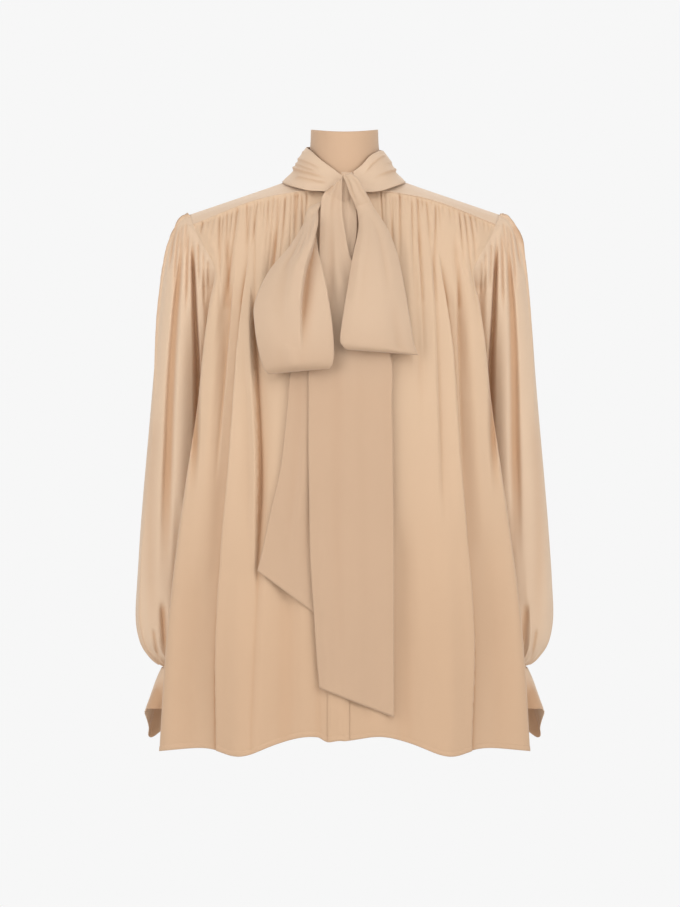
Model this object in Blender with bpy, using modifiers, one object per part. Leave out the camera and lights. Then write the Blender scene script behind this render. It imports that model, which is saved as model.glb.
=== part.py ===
"""A tie neck blouse, filled out as if it were worn, with nobody inside.

Metres, +Z up.  The front faces -Y and the wearer's left side lies at +X.  The origin
is the middle of the neck, level with the shoulders' highest points.  Each piece that
a maker would cut is one closed wall of cloth.
"""
from collections import namedtuple

import bpy
import numpy as np

# Cloth and seams
WALL = 0.0013
SEAM = 0.0003
LAID_ON = WALL + SEAM

# Neck opening: an oval that rises from the front to the back
NECK_HALF_WIDTH = 0.060
NECK_HALF_DEPTH = 0.064
NECK_MIDDLE_Y = 0.002
NECK_ANGLES = (0, 41, 90, 135, 180)
NECK_HEIGHTS = (-0.036, -0.017, 0.003, 0.011, 0.015)
NECK_FRONT_SEAM = 41

# Stand collar, by its rings from the neck seam to the top edge
CollarRing = namedtuple("CollarRing", "half_width half_depth middle_y front_z back_z")
COLLAR = (
    CollarRing(0.0590, 0.0630, 0.002, -0.0355, 0.0160),
    CollarRing(0.0520, 0.0575, 0.004, 0.0000, 0.0340),
    CollarRing(0.0462, 0.0550, 0.005, 0.0320, 0.0520),
    CollarRing(0.0448, 0.0540, 0.005, 0.0600, 0.0690),
)
COLLAR_COLUMNS = 28

# Yoke, from the front seam over the shoulder to the middle of the back
YokeRib = namedtuple("YokeRib", "neck_angle middle outer")
YOKE = (
    YokeRib(41, (0.109, -0.046, -0.0295), (0.200, -0.038, -0.0630)),
    YokeRib(66, (0.117, -0.026, -0.0235), (0.204, -0.020, -0.0525)),
    YokeRib(90, (0.121, 0.002, -0.0180), (0.206, 0.002, -0.0470)),
    YokeRib(112, (0.120, 0.030, -0.0210), (0.204, 0.028, -0.0535)),
    YokeRib(134, (0.114, 0.060, -0.0340), (0.194, 0.062, -0.0800)),
    YokeRib(148, (0.078, 0.077, -0.0330), (0.135, 0.086, -0.0885)),
    YokeRib(163, (0.040, 0.083, -0.0300), (0.070, 0.096, -0.0930)),
    YokeRib(180, (0.000, 0.085, -0.0290), (0.000, 0.099, -0.0945)),
)
SHOULDER_TOP_RIB = 2
ARMHOLE_END_RIB = 4
YOKE_SHOULDER_RIBS = 9
YOKE_BACK_RIBS = 7
YOKE_COLUMNS = 5

# Body, by its rows from the yoke seam to the hem.  The corner is where the panel turns
# from the front or back to the side, and the edge is its armhole or side seam.
BodyRow = namedtuple("BodyRow", "drop middle corner edge")
FRONT = (
    BodyRow(0.000, (-0.0620, -0.0360), None, None),
    BodyRow(0.025, (-0.0790, -0.0630), (0.184, -0.058, -0.088), (0.187, -0.048, -0.089)),
    BodyRow(0.053, (-0.0990, -0.0940), (0.171, -0.069, -0.116), (0.172, -0.0535, -0.119)),
    BodyRow(0.109, (-0.1270, -0.1560), (0.177, -0.088, -0.172), (0.165, -0.046, -0.175)),
    BodyRow(0.150, (-0.1380, -0.1980), (0.183, -0.092, -0.214), (0.163, -0.035, -0.214)),
    BodyRow(0.175, (-0.1420, -0.2230), (0.186, -0.093, -0.238), (0.162, 0.005, -0.238)),
    BodyRow(0.187, (-0.1430, -0.2350), (0.187, -0.093, -0.250), (0.161, 0.006, -0.250)),
    BodyRow(0.267, (-0.1510, -0.3150), (0.196, -0.096, -0.330), (0.157, 0.008, -0.330)),
    BodyRow(0.387, (-0.1590, -0.4350), (0.211, -0.099, -0.450), (0.153, 0.009, -0.450)),
    BodyRow(0.537, (-0.1660, -0.5830), (0.229, -0.102, -0.600), (0.151, 0.010, -0.600)),
    BodyRow(0.688, (-0.1720, -0.7330), (0.240, -0.106, -0.751), (0.150, 0.010, -0.745)),
)
BACK = (
    BodyRow(0.000, (0.0990, -0.0945), None, None),
    BodyRow(0.025, (0.1060, -0.1200), (0.182, 0.074, -0.104), (0.185, 0.067, -0.104)),
    BodyRow(0.053, (0.1120, -0.1460), (0.174, 0.084, -0.133), (0.173, 0.070, -0.133)),
    BodyRow(0.109, (0.1190, -0.1880), (0.179, 0.094, -0.181), (0.166, 0.056, -0.181)),
    BodyRow(0.150, (0.1225, -0.2190), (0.185, 0.098, -0.216), (0.163, 0.044, -0.216)),
    BodyRow(0.175, (0.1240, -0.2400), (0.188, 0.099, -0.238), (0.162, 0.005, -0.238)),
    BodyRow(0.187, (0.1246, -0.2520), (0.189, 0.099, -0.250), (0.161, 0.006, -0.250)),
    BodyRow(0.267, (0.1290, -0.3300), (0.199, 0.103, -0.330), (0.157, 0.008, -0.330)),
    BodyRow(0.387, (0.1350, -0.4500), (0.212, 0.107, -0.450), (0.153, 0.009, -0.450)),
    BodyRow(0.537, (0.1420, -0.6000), (0.227, 0.111, -0.600), (0.151, 0.010, -0.600)),
    BodyRow(0.688, (0.1500, -0.7480), (0.238, 0.116, -0.749), (0.150, 0.010, -0.745)),
)
ARMHOLE_ROWS = 6
ROUNDING = 2.2
ROUNDING_SHARES = (0.25, 0.5, 0.76)
FLANK_TURN = (0.60, 0.27, 0.5)
FLANK_LEAST = 0.030
FLANK_CALM = (0.74, 0.90)
FINE = 240
FLANK_POINTS = 60
SEAM_CORNER = 0.97

# Front opening: the strip of the right front lies over the left front
PLACKET_LEFT = -0.0200
PLACKET_RIGHT = 0.0060
PLACKET_FIRST_ROW = 4
PLACKET_POINTS = 5
OPENING_GAP = 0.0006

# How far down each panel its rows are cut, and how many columns it has
GATHERED_DROPS = (0.0, 0.007, 0.022, 0.045, 0.075, 0.110)
LOWER_DROPS = (0.110, 0.131, 0.154, 0.195, 0.260, 0.330, 0.400, 0.470, 0.540, 0.610, 0.688)
FRONT_COLUMNS = 44
BACK_COLUMNS = 52
GATHER_DEPTH = 0.0020
GATHER_DROPS = (0.0, 0.018, 0.018, 0.110)
FRONT_GATHERS = (0.24, 0.30, 0.84, 0.94)
BACK_GATHERS_END = (0.88, 0.97)
OPENING_CALM = 0.05

# Long folds of the body: where each runs, how wide it is, and how far it stands out
# (above nought) or sinks in (below nought).  Across is measured away from the middle.
Fold = namedtuple("Fold", "across_top z_top across_foot z_foot width height")
FOLD_FADE = (-0.05, 0.22, 0.86, 1.12)
RIGHT_FRONT_FOLDS = (
    Fold(0.128, -0.110, 0.162, -0.745, 0.011, -0.0070),
    Fold(0.118, -0.140, 0.146, -0.480, 0.010, 0.0050),
    Fold(0.108, -0.170, 0.117, -0.650, 0.011, -0.0050),
    Fold(0.158, -0.130, 0.196, -0.700, 0.014, 0.0050),
    Fold(0.085, -0.070, 0.088, -0.420, 0.011, 0.0030),
    Fold(0.060, -0.300, 0.055, -0.700, 0.018, -0.0040),
)
LEFT_FRONT_FOLDS = (
    Fold(0.124, -0.110, 0.160, -0.745, 0.011, -0.0070),
    Fold(0.110, -0.120, 0.128, -0.640, 0.012, 0.0055),
    Fold(0.143, -0.140, 0.172, -0.480, 0.010, 0.0040),
    Fold(0.092, -0.090, 0.096, -0.520, 0.010, -0.0040),
    Fold(0.166, -0.200, 0.200, -0.720, 0.012, -0.0045),
    Fold(0.070, -0.300, 0.066, -0.700, 0.016, 0.0035),
)
BACK_FOLDS = (
    Fold(-0.150, -0.130, -0.176, -0.745, 0.013, -0.0060),
    Fold(-0.118, -0.120, -0.140, -0.600, 0.013, 0.0050),
    Fold(-0.082, -0.130, -0.092, -0.740, 0.013, -0.0060),
    Fold(-0.035, -0.120, -0.045, -0.560, 0.013, 0.0045),
    Fold(0.006, -0.140, 0.010, -0.740, 0.014, -0.0055),
    Fold(0.048, -0.120, 0.052, -0.620, 0.013, 0.0050),
    Fold(0.088, -0.130, 0.104, -0.740, 0.013, -0.0060),
    Fold(0.122, -0.120, 0.150, -0.560, 0.012, 0.0045),
    Fold(0.156, -0.130, 0.184, -0.745, 0.013, -0.0055),
)

# Flutes of the hem: a wave that grows from the waist down
FLUTE_START = -0.300
FLUTE_END = -0.750
FRONT_FLUTE_CREST = 0.130
FRONT_FLUTE_HOLLOW = 0.045
FRONT_FLUTE_WIDTH = 0.034
FRONT_HOLLOW_SHARE = 0.45
FRONT_FLUTE_HEIGHT = 0.0120
FRONT_FLUTE_DROP = 0.0150
BACK_FLUTE_LENGTH = 0.118
BACK_FLUTE_HEIGHT = 0.0100
BACK_FLUTE_DROP = 0.0060

# Sleeve, by its rings from the cap to the wrist.  Outer and inner are the points of the
# ring farthest from the body and nearest to it, and bow draws its sides to the body.
SleeveRing = namedtuple("SleeveRing", "outer inner middle_y half_depth bow")
SLEEVE = (
    SleeveRing((0.2190, -0.0505), (0.1675, -0.2420), 0.006, 0.0590, 0.0115),
    SleeveRing((0.2310, -0.0770), (0.1690, -0.2460), 0.006, 0.0600, 0.0090),
    SleeveRing((0.2390, -0.1130), (0.1705, -0.2500), 0.006, 0.0590, 0.0060),
    SleeveRing((0.2445, -0.1530), (0.1715, -0.2550), 0.007, 0.0580, 0.0030),
    SleeveRing((0.2500, -0.2050), (0.1722, -0.2660), 0.008, 0.0575, 0.0010),
    SleeveRing((0.2550, -0.2620), (0.1722, -0.2860), 0.008, 0.0580, 0.0000),
    SleeveRing((0.2610, -0.3320), (0.1705, -0.3340), 0.008, 0.0590, 0.0000),
    SleeveRing((0.2675, -0.4050), (0.1690, -0.4050), 0.008, 0.0600, 0.0000),
    SleeveRing((0.2730, -0.4740), (0.1680, -0.4740), 0.008, 0.0610, 0.0000),
    SleeveRing((0.2765, -0.5400), (0.1690, -0.5400), 0.008, 0.0620, 0.0000),
    SleeveRing((0.2770, -0.5860), (0.1710, -0.5860), 0.007, 0.0610, 0.0000),
    SleeveRing((0.2705, -0.6160), (0.1750, -0.6160), 0.005, 0.0560, 0.0000),
    SleeveRing((0.2570, -0.6350), (0.1790, -0.6350), 0.003, 0.0440, 0.0000),
    SleeveRing((0.2430, -0.6450), (0.1820, -0.6450), 0.002, 0.0305, 0.0000),
)
CAP_RINGS = (0.0, 0.5, 1.1, 1.9, 3.0)
ARM_RINGS = (3.0, 4.5, 6.0, 7.2, 8.5, 9.8, 11.0)
WRIST_RINGS = (11.0, 12.0, 13.0, 14.0)
SLEEVE_COLUMNS = 44
CAP_CROWDING = 0.45
CAP_SPREAD_RINGS = (2, 6)
CAP_GATHER_HEIGHT = 0.0022
CAP_GATHER_RINGS = (0.0, 0.5, 1.2, 3.2)
WRIST_GATHER_HEIGHT = 0.0022
WRIST_GATHER_RINGS = (11.6, 12.9, 13.2, 14.1)
SLEEVE_FOLDS = 6
SLEEVE_FOLD_HEIGHT = 0.0050
SLEEVE_FOLD_RINGS = (1.5, 5.0, 11.5, 13.5)
SLEEVE_INNER_RINGS = (3.0, 7.0)
SLEEVE_INNER_SHARE = 0.6
SLEEVE_DRIFT = 0.5
SLEEVE_DRIFT_RINGS = 3.1
SLEEVE_UNEVEN = 0.4
SEAM_DRAW = 0.020

# Cuff: a narrow band and the flare that hangs from it
BAND_MIDDLE = (0.2125, 0.002)
BAND_RADIUS = 0.0305
BAND_TOP = -0.6454
BAND_FOOT = -0.6570
FLARE_TOP = -0.6574
FLARE_RIM = (
    (0.270, 0.010, -0.7070),
    (0.251, -0.028, -0.7030),
    (0.222, -0.038, -0.7000),
    (0.190, -0.022, -0.7080),
    (0.178, 0.014, -0.7200),
    (0.192, 0.048, -0.7340),
    (0.224, 0.060, -0.7400),
    (0.257, 0.044, -0.7440),
)
CUFF_COLUMNS = 24
FLARE_ROWS = (0.0, 0.25, 0.6, 1.0)
FLARE_SPREAD = (0.85, 0.85, 1.0)
FLARE_WAVES = 5
FLARE_WAVE_HEIGHT = 0.0035
FLARE_WAVE_START = 0.1

# Scarf round the collar: angle from the front, and the height of its edges and creases
WrapSection = namedtuple("WrapSection", "angle top foot stand roll")
RIGHT_WRAP = (
    WrapSection(179.7, 0.052, 0.0190, 0.0016, 0.0090),
    WrapSection(150, 0.051, 0.0150, 0.0016, 0.0100),
    WrapSection(115, 0.047, 0.0085, 0.0024, 0.0120),
    WrapSection(90, 0.044, 0.0030, 0.0030, 0.0120),
    WrapSection(62, 0.037, -0.0060, 0.0040, 0.0090),
    WrapSection(36, 0.022, -0.0150, 0.0040, 0.0050),
    WrapSection(14, 0.008, -0.0215, 0.0045, 0.0040),
    WrapSection(2.5, 0.000, -0.0220, 0.0050, 0.0040),
)
LEFT_WRAP = (
    WrapSection(179.7, 0.050, 0.0190, 0.0016, 0.0090),
    WrapSection(150, 0.048, 0.0150, 0.0016, 0.0100),
    WrapSection(115, 0.043, 0.0085, 0.0024, 0.0110),
    WrapSection(90, 0.039, 0.0030, 0.0030, 0.0110),
    WrapSection(62, 0.036, -0.0050, 0.0040, 0.0090),
    WrapSection(38, 0.026, -0.0150, 0.0045, 0.0060),
    WrapSection(24, 0.014, -0.0200, 0.0050, 0.0050),
    WrapSection(12, 0.006, -0.0190, 0.0060, 0.0050),
)
WRAP_PROFILE = (
    (1.0, 0.0), (0.78, 0.10), (0.55, 0.20), (0.36, 0.30), (0.24, 0.92), (0.10, 1.0), (0.0, 0.80),
)
WRAP_COLUMNS = 13

# How the collar's wall leans in, which the scarf follows
LEAN_HEIGHT = 0.045
LEAN_POWER = 0.8
LEAN_IN_SIDE = 0.0135
LEAN_IN_FRONT = 0.0085
LEAN_BACK = 0.002

# Bow: each ribbon by its rows, an edge on either side and how far its middle stands out
RibbonRow = namedtuple("RibbonRow", "left right out")
KNOT = (
    RibbonRow((-0.0020, -0.0720, 0.0000), (0.0100, -0.0715, 0.0040), 0.0010),
    RibbonRow((-0.0020, -0.0760, -0.0020), (0.0112, -0.0755, 0.0010), 0.0030),
    RibbonRow((0.0022, -0.0790, -0.0120), (0.0187, -0.0780, -0.0060), 0.0040),
    RibbonRow((0.0062, -0.0805, -0.0240), (0.0250, -0.0785, -0.0180), 0.0045),
    RibbonRow((0.0120, -0.0820, -0.0370), (0.0320, -0.0795, -0.0310), 0.0045),
    RibbonRow((0.0160, -0.0840, -0.0475), (0.0376, -0.0805, -0.0425), 0.0045),
)
LEFT_LOOP = (
    RibbonRow((0.0162, -0.0842, -0.0480), (0.0380, -0.0808, -0.0430), 0.0045),
    RibbonRow((0.0180, -0.0990, -0.0720), (0.0560, -0.0930, -0.0720), 0.0070),
    RibbonRow((0.0105, -0.1260, -0.1090), (0.0690, -0.1160, -0.1090), 0.0090),
    RibbonRow((0.0030, -0.1470, -0.1550), (0.0780, -0.1330, -0.1550), 0.0110),
    RibbonRow((-0.0040, -0.1590, -0.1990), (0.0850, -0.1450, -0.1990), 0.0130),
    RibbonRow((-0.0060, -0.1640, -0.2200), (0.0890, -0.1490, -0.2240), 0.0130),
    RibbonRow((-0.0010, -0.1640, -0.2290), (0.0930, -0.1500, -0.2350), 0.0110),
    RibbonRow((0.0040, -0.1610, -0.2320), (0.0945, -0.1470, -0.2385), 0.0040),
    RibbonRow((0.0030, -0.1575, -0.2280), (0.0920, -0.1440, -0.2350), -0.0010),
    RibbonRow((-0.0010, -0.1550, -0.2150), (0.0860, -0.1410, -0.2180), 0.0010),
    RibbonRow((0.0020, -0.1460, -0.1700), (0.0740, -0.1340, -0.1700), 0.0010),
    RibbonRow((0.0110, -0.1210, -0.1150), (0.0600, -0.1110, -0.1150), 0.0010),
    RibbonRow((0.0200, -0.0930, -0.0700), (0.0420, -0.0890, -0.0700), 0.0010),
)
RIGHT_LOOP = (
    RibbonRow((-0.0345, -0.0670, -0.0360), (-0.0240, -0.0680, -0.0310), 0.0005),
    RibbonRow((-0.0470, -0.0766, -0.0450), (-0.0350, -0.0780, -0.0480), 0.0015),
    RibbonRow((-0.0560, -0.0930, -0.0700), (-0.0350, -0.0990, -0.0730), 0.0060),
    RibbonRow((-0.0730, -0.1110, -0.0980), (-0.0310, -0.1210, -0.0980), 0.0090),
    RibbonRow((-0.0980, -0.1240, -0.1290), (-0.0270, -0.1390, -0.1260), 0.0110),
    RibbonRow((-0.1160, -0.1350, -0.1700), (-0.0205, -0.1540, -0.1650), 0.0130),
    RibbonRow((-0.1160, -0.1430, -0.2000), (-0.0160, -0.1610, -0.1970), 0.0140),
    RibbonRow((-0.1110, -0.1490, -0.2320), (-0.0135, -0.1670, -0.2300), 0.0140),
    RibbonRow((-0.1045, -0.1520, -0.2540), (-0.0150, -0.1690, -0.2480), 0.0120),
    RibbonRow((-0.0985, -0.1500, -0.2625), (-0.0190, -0.1660, -0.2560), 0.0050),
    RibbonRow((-0.0990, -0.1465, -0.2590), (-0.0200, -0.1620, -0.2530), 0.0000),
    RibbonRow((-0.1020, -0.1420, -0.2350), (-0.0200, -0.1580, -0.2350), 0.0010),
    RibbonRow((-0.1000, -0.1320, -0.1850), (-0.0240, -0.1500, -0.1850), 0.0010),
    RibbonRow((-0.0820, -0.1170, -0.1300), (-0.0300, -0.1310, -0.1300), 0.0010),
    RibbonRow((-0.0560, -0.0960, -0.0800), (-0.0375, -0.1010, -0.0800), 0.0010),
)
LOOP_COLUMNS = 12
KNOT_COLUMNS = 5

# Tails: the edges seen from the front, and how far each row stands off the body
TailRow = namedtuple("TailRow", "left_x left_z right_x right_z clear")
LONG_TAIL = (
    TailRow(-0.0180, -0.0150, -0.0033, -0.0040, 0.0125),
    TailRow(-0.0290, -0.0270, -0.0033, -0.0250, 0.0110),
    TailRow(-0.0315, -0.0480, -0.0030, -0.0480, 0.0090),
    TailRow(-0.0325, -0.0740, 0.0006, -0.0740, 0.0086),
    TailRow(-0.0335, -0.1140, 0.0090, -0.1140, 0.0078),
    TailRow(-0.0385, -0.1670, 0.0340, -0.1670, 0.0074),
    TailRow(-0.0460, -0.2410, 0.0596, -0.2410, 0.0072),
    TailRow(-0.0467, -0.3000, 0.0610, -0.3000, 0.0072),
    TailRow(-0.0467, -0.3600, 0.0621, -0.3600, 0.0072),
    TailRow(-0.0455, -0.4300, 0.0627, -0.4320, 0.0072),
    TailRow(-0.0441, -0.5000, 0.0632, -0.5080, 0.0072),
    TailRow(-0.0395, -0.5700, 0.0631, -0.5900, 0.0064),
    TailRow(-0.0360, -0.6250, 0.0631, -0.6550, 0.0050),
    TailRow(-0.0325, -0.6640, 0.0631, -0.7020, 0.0044),
)
SHORT_TAIL = (
    TailRow(0.0005, -0.0140, 0.0060, -0.0150, 0.0125),
    TailRow(0.0005, -0.0300, 0.0115, -0.0330, 0.0090),
    TailRow(0.0020, -0.0480, 0.0155, -0.0480, 0.0070),
    TailRow(-0.0030, -0.0800, 0.0155, -0.0800, 0.0048),
    TailRow(-0.0200, -0.1200, 0.0080, -0.1200, 0.0046),
    TailRow(-0.0573, -0.1700, 0.0040, -0.1700, 0.0046),
    TailRow(-0.0690, -0.2500, 0.0060, -0.2560, 0.0046),
    TailRow(-0.0755, -0.3200, 0.0070, -0.3350, 0.0046),
    TailRow(-0.0830, -0.3850, 0.0040, -0.4150, 0.0046),
    TailRow(-0.0953, -0.4370, -0.0010, -0.4900, 0.0046),
    TailRow(-0.1040, -0.4800, -0.0050, -0.5500, 0.0044),
    TailRow(-0.1119, -0.5150, -0.0100, -0.5900, 0.0042),
)
TAIL_COLUMNS = 6
TAIL_ROWS = 19
TAIL_WAVES = 2
LONG_TAIL_WAVE = 0.0010
SHORT_TAIL_WAVE = 0.0003

# Colours of the cloth, by eye
CLOTH_COLOURS = {
    "body": (0.66, 0.46, 0.29),
    "sleeve": (0.64, 0.44, 0.28),
    "neck": (0.69, 0.49, 0.32),
    "bow": (0.70, 0.51, 0.33),
}
CLOTH_ROUGHNESS = 0.62


def smooth_rows(knots, rows, at):
    """A smooth curve through rows of numbers, read at one or more places."""
    knots = np.asarray(knots, dtype=float)
    rows = np.asarray(rows, dtype=float)
    at = np.atleast_1d(np.asarray(at, dtype=float))
    slopes = np.gradient(rows, knots, axis=0)
    low = np.clip(np.searchsorted(knots, at, side="right") - 1, 0, len(knots) - 2)
    span = knots[low + 1] - knots[low]
    part = (at - knots[low]) / span
    shape = (len(at),) + (1,) * (rows.ndim - 1)
    part = part.reshape(shape)
    span = span.reshape(shape)
    first = (1 + 2 * part) * (1 - part) ** 2 * rows[low]
    second = part ** 2 * (3 - 2 * part) * rows[low + 1]
    turn_in = part * (1 - part) ** 2 * span * slopes[low]
    turn_out = part ** 2 * (part - 1) * span * slopes[low + 1]
    return first + second + turn_in + turn_out


def lengths_along(points):
    """Distance from the first point to each point of a path."""
    steps = np.linalg.norm(np.diff(points, axis=0), axis=1)
    return np.concatenate(([0.0], np.cumsum(steps)))


def smooth_path(points, count=FINE):
    """A dense smooth path through a few points."""
    points = np.asarray(points, dtype=float)
    knots = lengths_along(points)
    return smooth_rows(knots, points, np.linspace(0.0, knots[-1], count))


def spaced(path, fractions):
    """Points at the given fractions of a dense path's length."""
    length = lengths_along(path)
    at = np.asarray(fractions) * length[-1]
    return np.stack([np.interp(at, length, path[:, axis]) for axis in range(3)], axis=1)


def eased(low, high, value):
    """A soft step from 0 at low to 1 at high."""
    part = np.clip((np.asarray(value) - low) / (high - low), 0.0, 1.0)
    return part * part * (3 - 2 * part)


def between(levels, value):
    """A soft rise from the first level to the second, and a fall from the third to the last."""
    return eased(levels[0], levels[1], value) * (1 - eased(levels[2], levels[3], value))


def outward(grid, ring=False):
    """Unit directions out of a grid whose columns run to the left when seen from outside."""
    if ring:
        wrapped = np.concatenate((grid[:, -1:], grid, grid[:, :1]), axis=1)
        across = np.gradient(wrapped, axis=1)[:, 1:-1]
    else:
        across = np.gradient(grid, axis=1)
    down = np.gradient(grid, axis=0)
    normal = np.cross(down, across)
    size = np.linalg.norm(normal, axis=2, keepdims=True)
    return normal / np.maximum(size, 1e-9)


def fold_heights(folds, across, z):
    """How far a set of long folds moves the cloth at each place."""
    total = np.zeros_like(across)
    for fold in folds:
        run = fold.z_top - fold.z_foot
        part = (fold.z_top - z) / run
        line = fold.across_top + (fold.across_foot - fold.across_top) * part
        shape = np.exp(-((across - line) / fold.width) ** 2)
        total += fold.height * between(FOLD_FADE, part) * shape
    return total


def neck_point(angle):
    """A point of the neck seam, by its angle from the front, on the +X side."""
    turn = np.radians(angle)
    x = NECK_HALF_WIDTH * np.sin(turn)
    y = NECK_MIDDLE_Y - NECK_HALF_DEPTH * np.cos(turn)
    z = smooth_rows(NECK_ANGLES, NECK_HEIGHTS, angle)[0]
    return np.array((x, y, z))


def yoke_ribs(places):
    """Neck, middle and outer points of the yoke's ribs, at places from 0 to the last rib."""
    rows = [(neck_point(rib.neck_angle), rib.middle, rib.outer) for rib in YOKE]
    return smooth_rows(range(len(YOKE)), rows, places)


def yoke_rib_path(place):
    """The yoke's surface along one rib, from the neck to the outer edge."""
    return smooth_path(yoke_ribs(place)[0])


def back_seam_path():
    """The lower seam of the back yoke, from the middle to the armhole."""
    places = np.linspace(len(YOKE) - 1, ARMHOLE_END_RIB, FINE)
    return yoke_ribs(places)[:, 2]


def front_seam_path():
    """The top edge of a front: half the neck line, then the yoke seam."""
    neck = [neck_point(angle) for angle in np.linspace(0, NECK_FRONT_SEAM, 20)]
    return np.concatenate((neck[:-1], yoke_rib_path(0)))


def body_row_path(row):
    """A row of a body panel below the seam, from the middle round to its edge."""
    middle = np.array((0.0, row.middle[0], row.middle[1]))
    corner = np.array(row.corner)
    edge = np.array(row.edge)
    points = [middle]
    for share in ROUNDING_SHARES:
        point = middle + (corner - middle) * share ** ROUNDING
        point[0] = corner[0] * share
        points.append(point)
    points.append(corner)
    if abs(edge[1] - corner[1]) > FLANK_LEAST:
        points.append(corner + (edge - corner) * np.array(FLANK_TURN))
    points.append(edge)
    return smooth_path(points)


def split_at(path, corner):
    """A path with its corner always at the same place among its points."""
    turn = int(np.argmin(np.linalg.norm(path - corner, axis=1)))
    before = spaced(path[:turn + 1], np.linspace(0, 1, FINE - FLANK_POINTS))
    after = spaced(path[turn:], np.linspace(0, 1, FLANK_POINTS + 1))
    return np.concatenate((before, after[1:]))


def body_rows(table, seam_path):
    """The rows of a body panel as paths with equal numbers of points."""
    seam_corner = spaced(seam_path, (SEAM_CORNER,))[0]
    rows = [split_at(seam_path, seam_corner)]
    for row in table[1:]:
        rows.append(split_at(body_row_path(row), np.array(row.corner)))
    return np.array(rows)


def body_grid(table, seam_path, drops, columns, start):
    """A panel's plain surface on the +X side, from a line at x = start to its edge."""
    rows = smooth_rows([row.drop for row in table], body_rows(table, seam_path), drops)
    grid = []
    for row in rows:
        mirrored = row[:0:-1] * np.array((-1.0, 1.0, 1.0))
        whole = np.concatenate((mirrored, row))
        length = lengths_along(whole)
        begin = np.interp(start, whole[:, 0][FINE // 2:-FINE // 2], length[FINE // 2:-FINE // 2])
        begin = begin / length[-1]
        grid.append(spaced(whole, begin + (1 - begin) * np.asarray(columns)))
    return np.array(grid)


def front_flutes(x, z):
    """The hem wave of the fronts: how far it stands out, and how far it hangs down."""
    crest = np.exp(-((np.abs(x) - FRONT_FLUTE_CREST) / FRONT_FLUTE_WIDTH) ** 2)
    hollow = np.exp(-((np.abs(x) - FRONT_FLUTE_HOLLOW) / FRONT_FLUTE_WIDTH) ** 2)
    return eased(FLUTE_START, FLUTE_END, z) * (crest - FRONT_HOLLOW_SHARE * hollow)


def back_flutes(x, z):
    """The hem wave of the back."""
    wave = np.cos(2 * np.pi * x / BACK_FLUTE_LENGTH)
    return eased(FLUTE_START, FLUTE_END, z) * wave


def in_turn(columns):
    """A ridge and a hollow in turn, one for each column."""
    return np.where(np.arange(len(columns)) % 2 == 0, 1.0, -1.0)


def gathers(columns, drops):
    """Fine gathers under a seam, which fade out down the panel."""
    drops = np.asarray(drops)[:, None]
    return GATHER_DEPTH * between(GATHER_DROPS, drops) * in_turn(columns)


def side_fade(columns):
    """Keeps folds off a front's opening and off its flank, which hangs by the arm."""
    return between((0.0, OPENING_CALM, *FLANK_CALM), columns)


def both_sides_fade(columns):
    """The same for the back, which has a flank at each end."""
    return 1 - eased(*FLANK_CALM, np.abs(columns - 0.5) * 2)


def distance_across(half_grid):
    """Distance from the middle along a half panel, growing on round its corner."""
    across = half_grid[:, :, 0].copy()
    for line, row in zip(across, half_grid):
        corner = int(np.argmax(row[:, 0]))
        length = lengths_along(row)
        line[corner:] = row[corner, 0] + length[corner:] - length[corner]
    return across


def front_grid(side, drops, columns):
    """A front's outer surface with its folds; side is 1 for +X and -1 for -X."""
    start = PLACKET_LEFT * side + OPENING_GAP
    grid = body_grid(FRONT, front_seam_path(), drops, columns, start)
    folds = LEFT_FRONT_FOLDS if side > 0 else RIGHT_FRONT_FOLDS
    across = distance_across(grid)
    z = grid[:, :, 2]
    height = fold_heights(folds, across, z)
    height += FRONT_FLUTE_HEIGHT * front_flutes(across, z)
    height *= side_fade(columns)
    height += gathers(columns, drops) * between(FRONT_GATHERS, columns)
    drop = FRONT_FLUTE_DROP * front_flutes(across, z) * side_fade(columns)
    grid = grid + outward(grid) * height[:, :, None]
    grid[:, :, 2] -= drop
    grid[0, :, 2] -= SEAM
    grid[:, :, 0] *= side
    return grid


def back_grid(drops, columns):
    """The back's outer surface with its folds, from the +X side seam to the -X one."""
    half = body_grid(BACK, back_seam_path(), drops, np.linspace(0, 1, FINE), 0.0)
    half_across = distance_across(half)
    other = half[:, :0:-1] * np.array((-1.0, 1.0, 1.0))
    whole = np.concatenate((other, half), axis=1)[:, ::-1]
    whole_across = np.concatenate((-half_across[:, :0:-1], half_across), axis=1)[:, ::-1]
    grid = np.array([spaced(row, columns) for row in whole])
    shares = [lengths_along(row) / lengths_along(row)[-1] for row in whole]
    across = np.array([np.interp(columns, share, line) for share, line in zip(shares, whole_across)])
    z = grid[:, :, 2]
    height = fold_heights(BACK_FOLDS, across, z)
    height += BACK_FLUTE_HEIGHT * back_flutes(across, z)
    height *= both_sides_fade(columns)
    height += gathers(columns, drops) * (1 - eased(*BACK_GATHERS_END, np.abs(columns - 0.5) * 2))
    drop = BACK_FLUTE_DROP * back_flutes(across, z) * both_sides_fade(columns)
    grid = grid + outward(grid) * height[:, :, None]
    grid[:, :, 2] -= drop
    grid[0, :, 2] -= SEAM
    grid[:, 0, 1] += 2 * SEAM
    grid[:, -1, 1] += 2 * SEAM
    return grid


def armhole_path():
    """The armhole seam as a closed path: shoulder, front, underarm, back."""
    shoulder = yoke_ribs(np.linspace(SHOULDER_TOP_RIB, 0, FLANK_POINTS))[:, 2]
    front = [row.edge for row in FRONT[1:ARMHOLE_ROWS]]
    back = [row.edge for row in BACK[1:ARMHOLE_ROWS]][::-1]
    front_path = smooth_path([shoulder[-1]] + front)
    back_path = smooth_path(back + [YOKE[ARMHOLE_END_RIB].outer])
    shoulder_back = yoke_ribs(np.linspace(ARMHOLE_END_RIB, SHOULDER_TOP_RIB, FLANK_POINTS))[:, 2]
    return np.concatenate((shoulder, front_path[1:], back_path[1:], shoulder_back[1:-1]))


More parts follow.
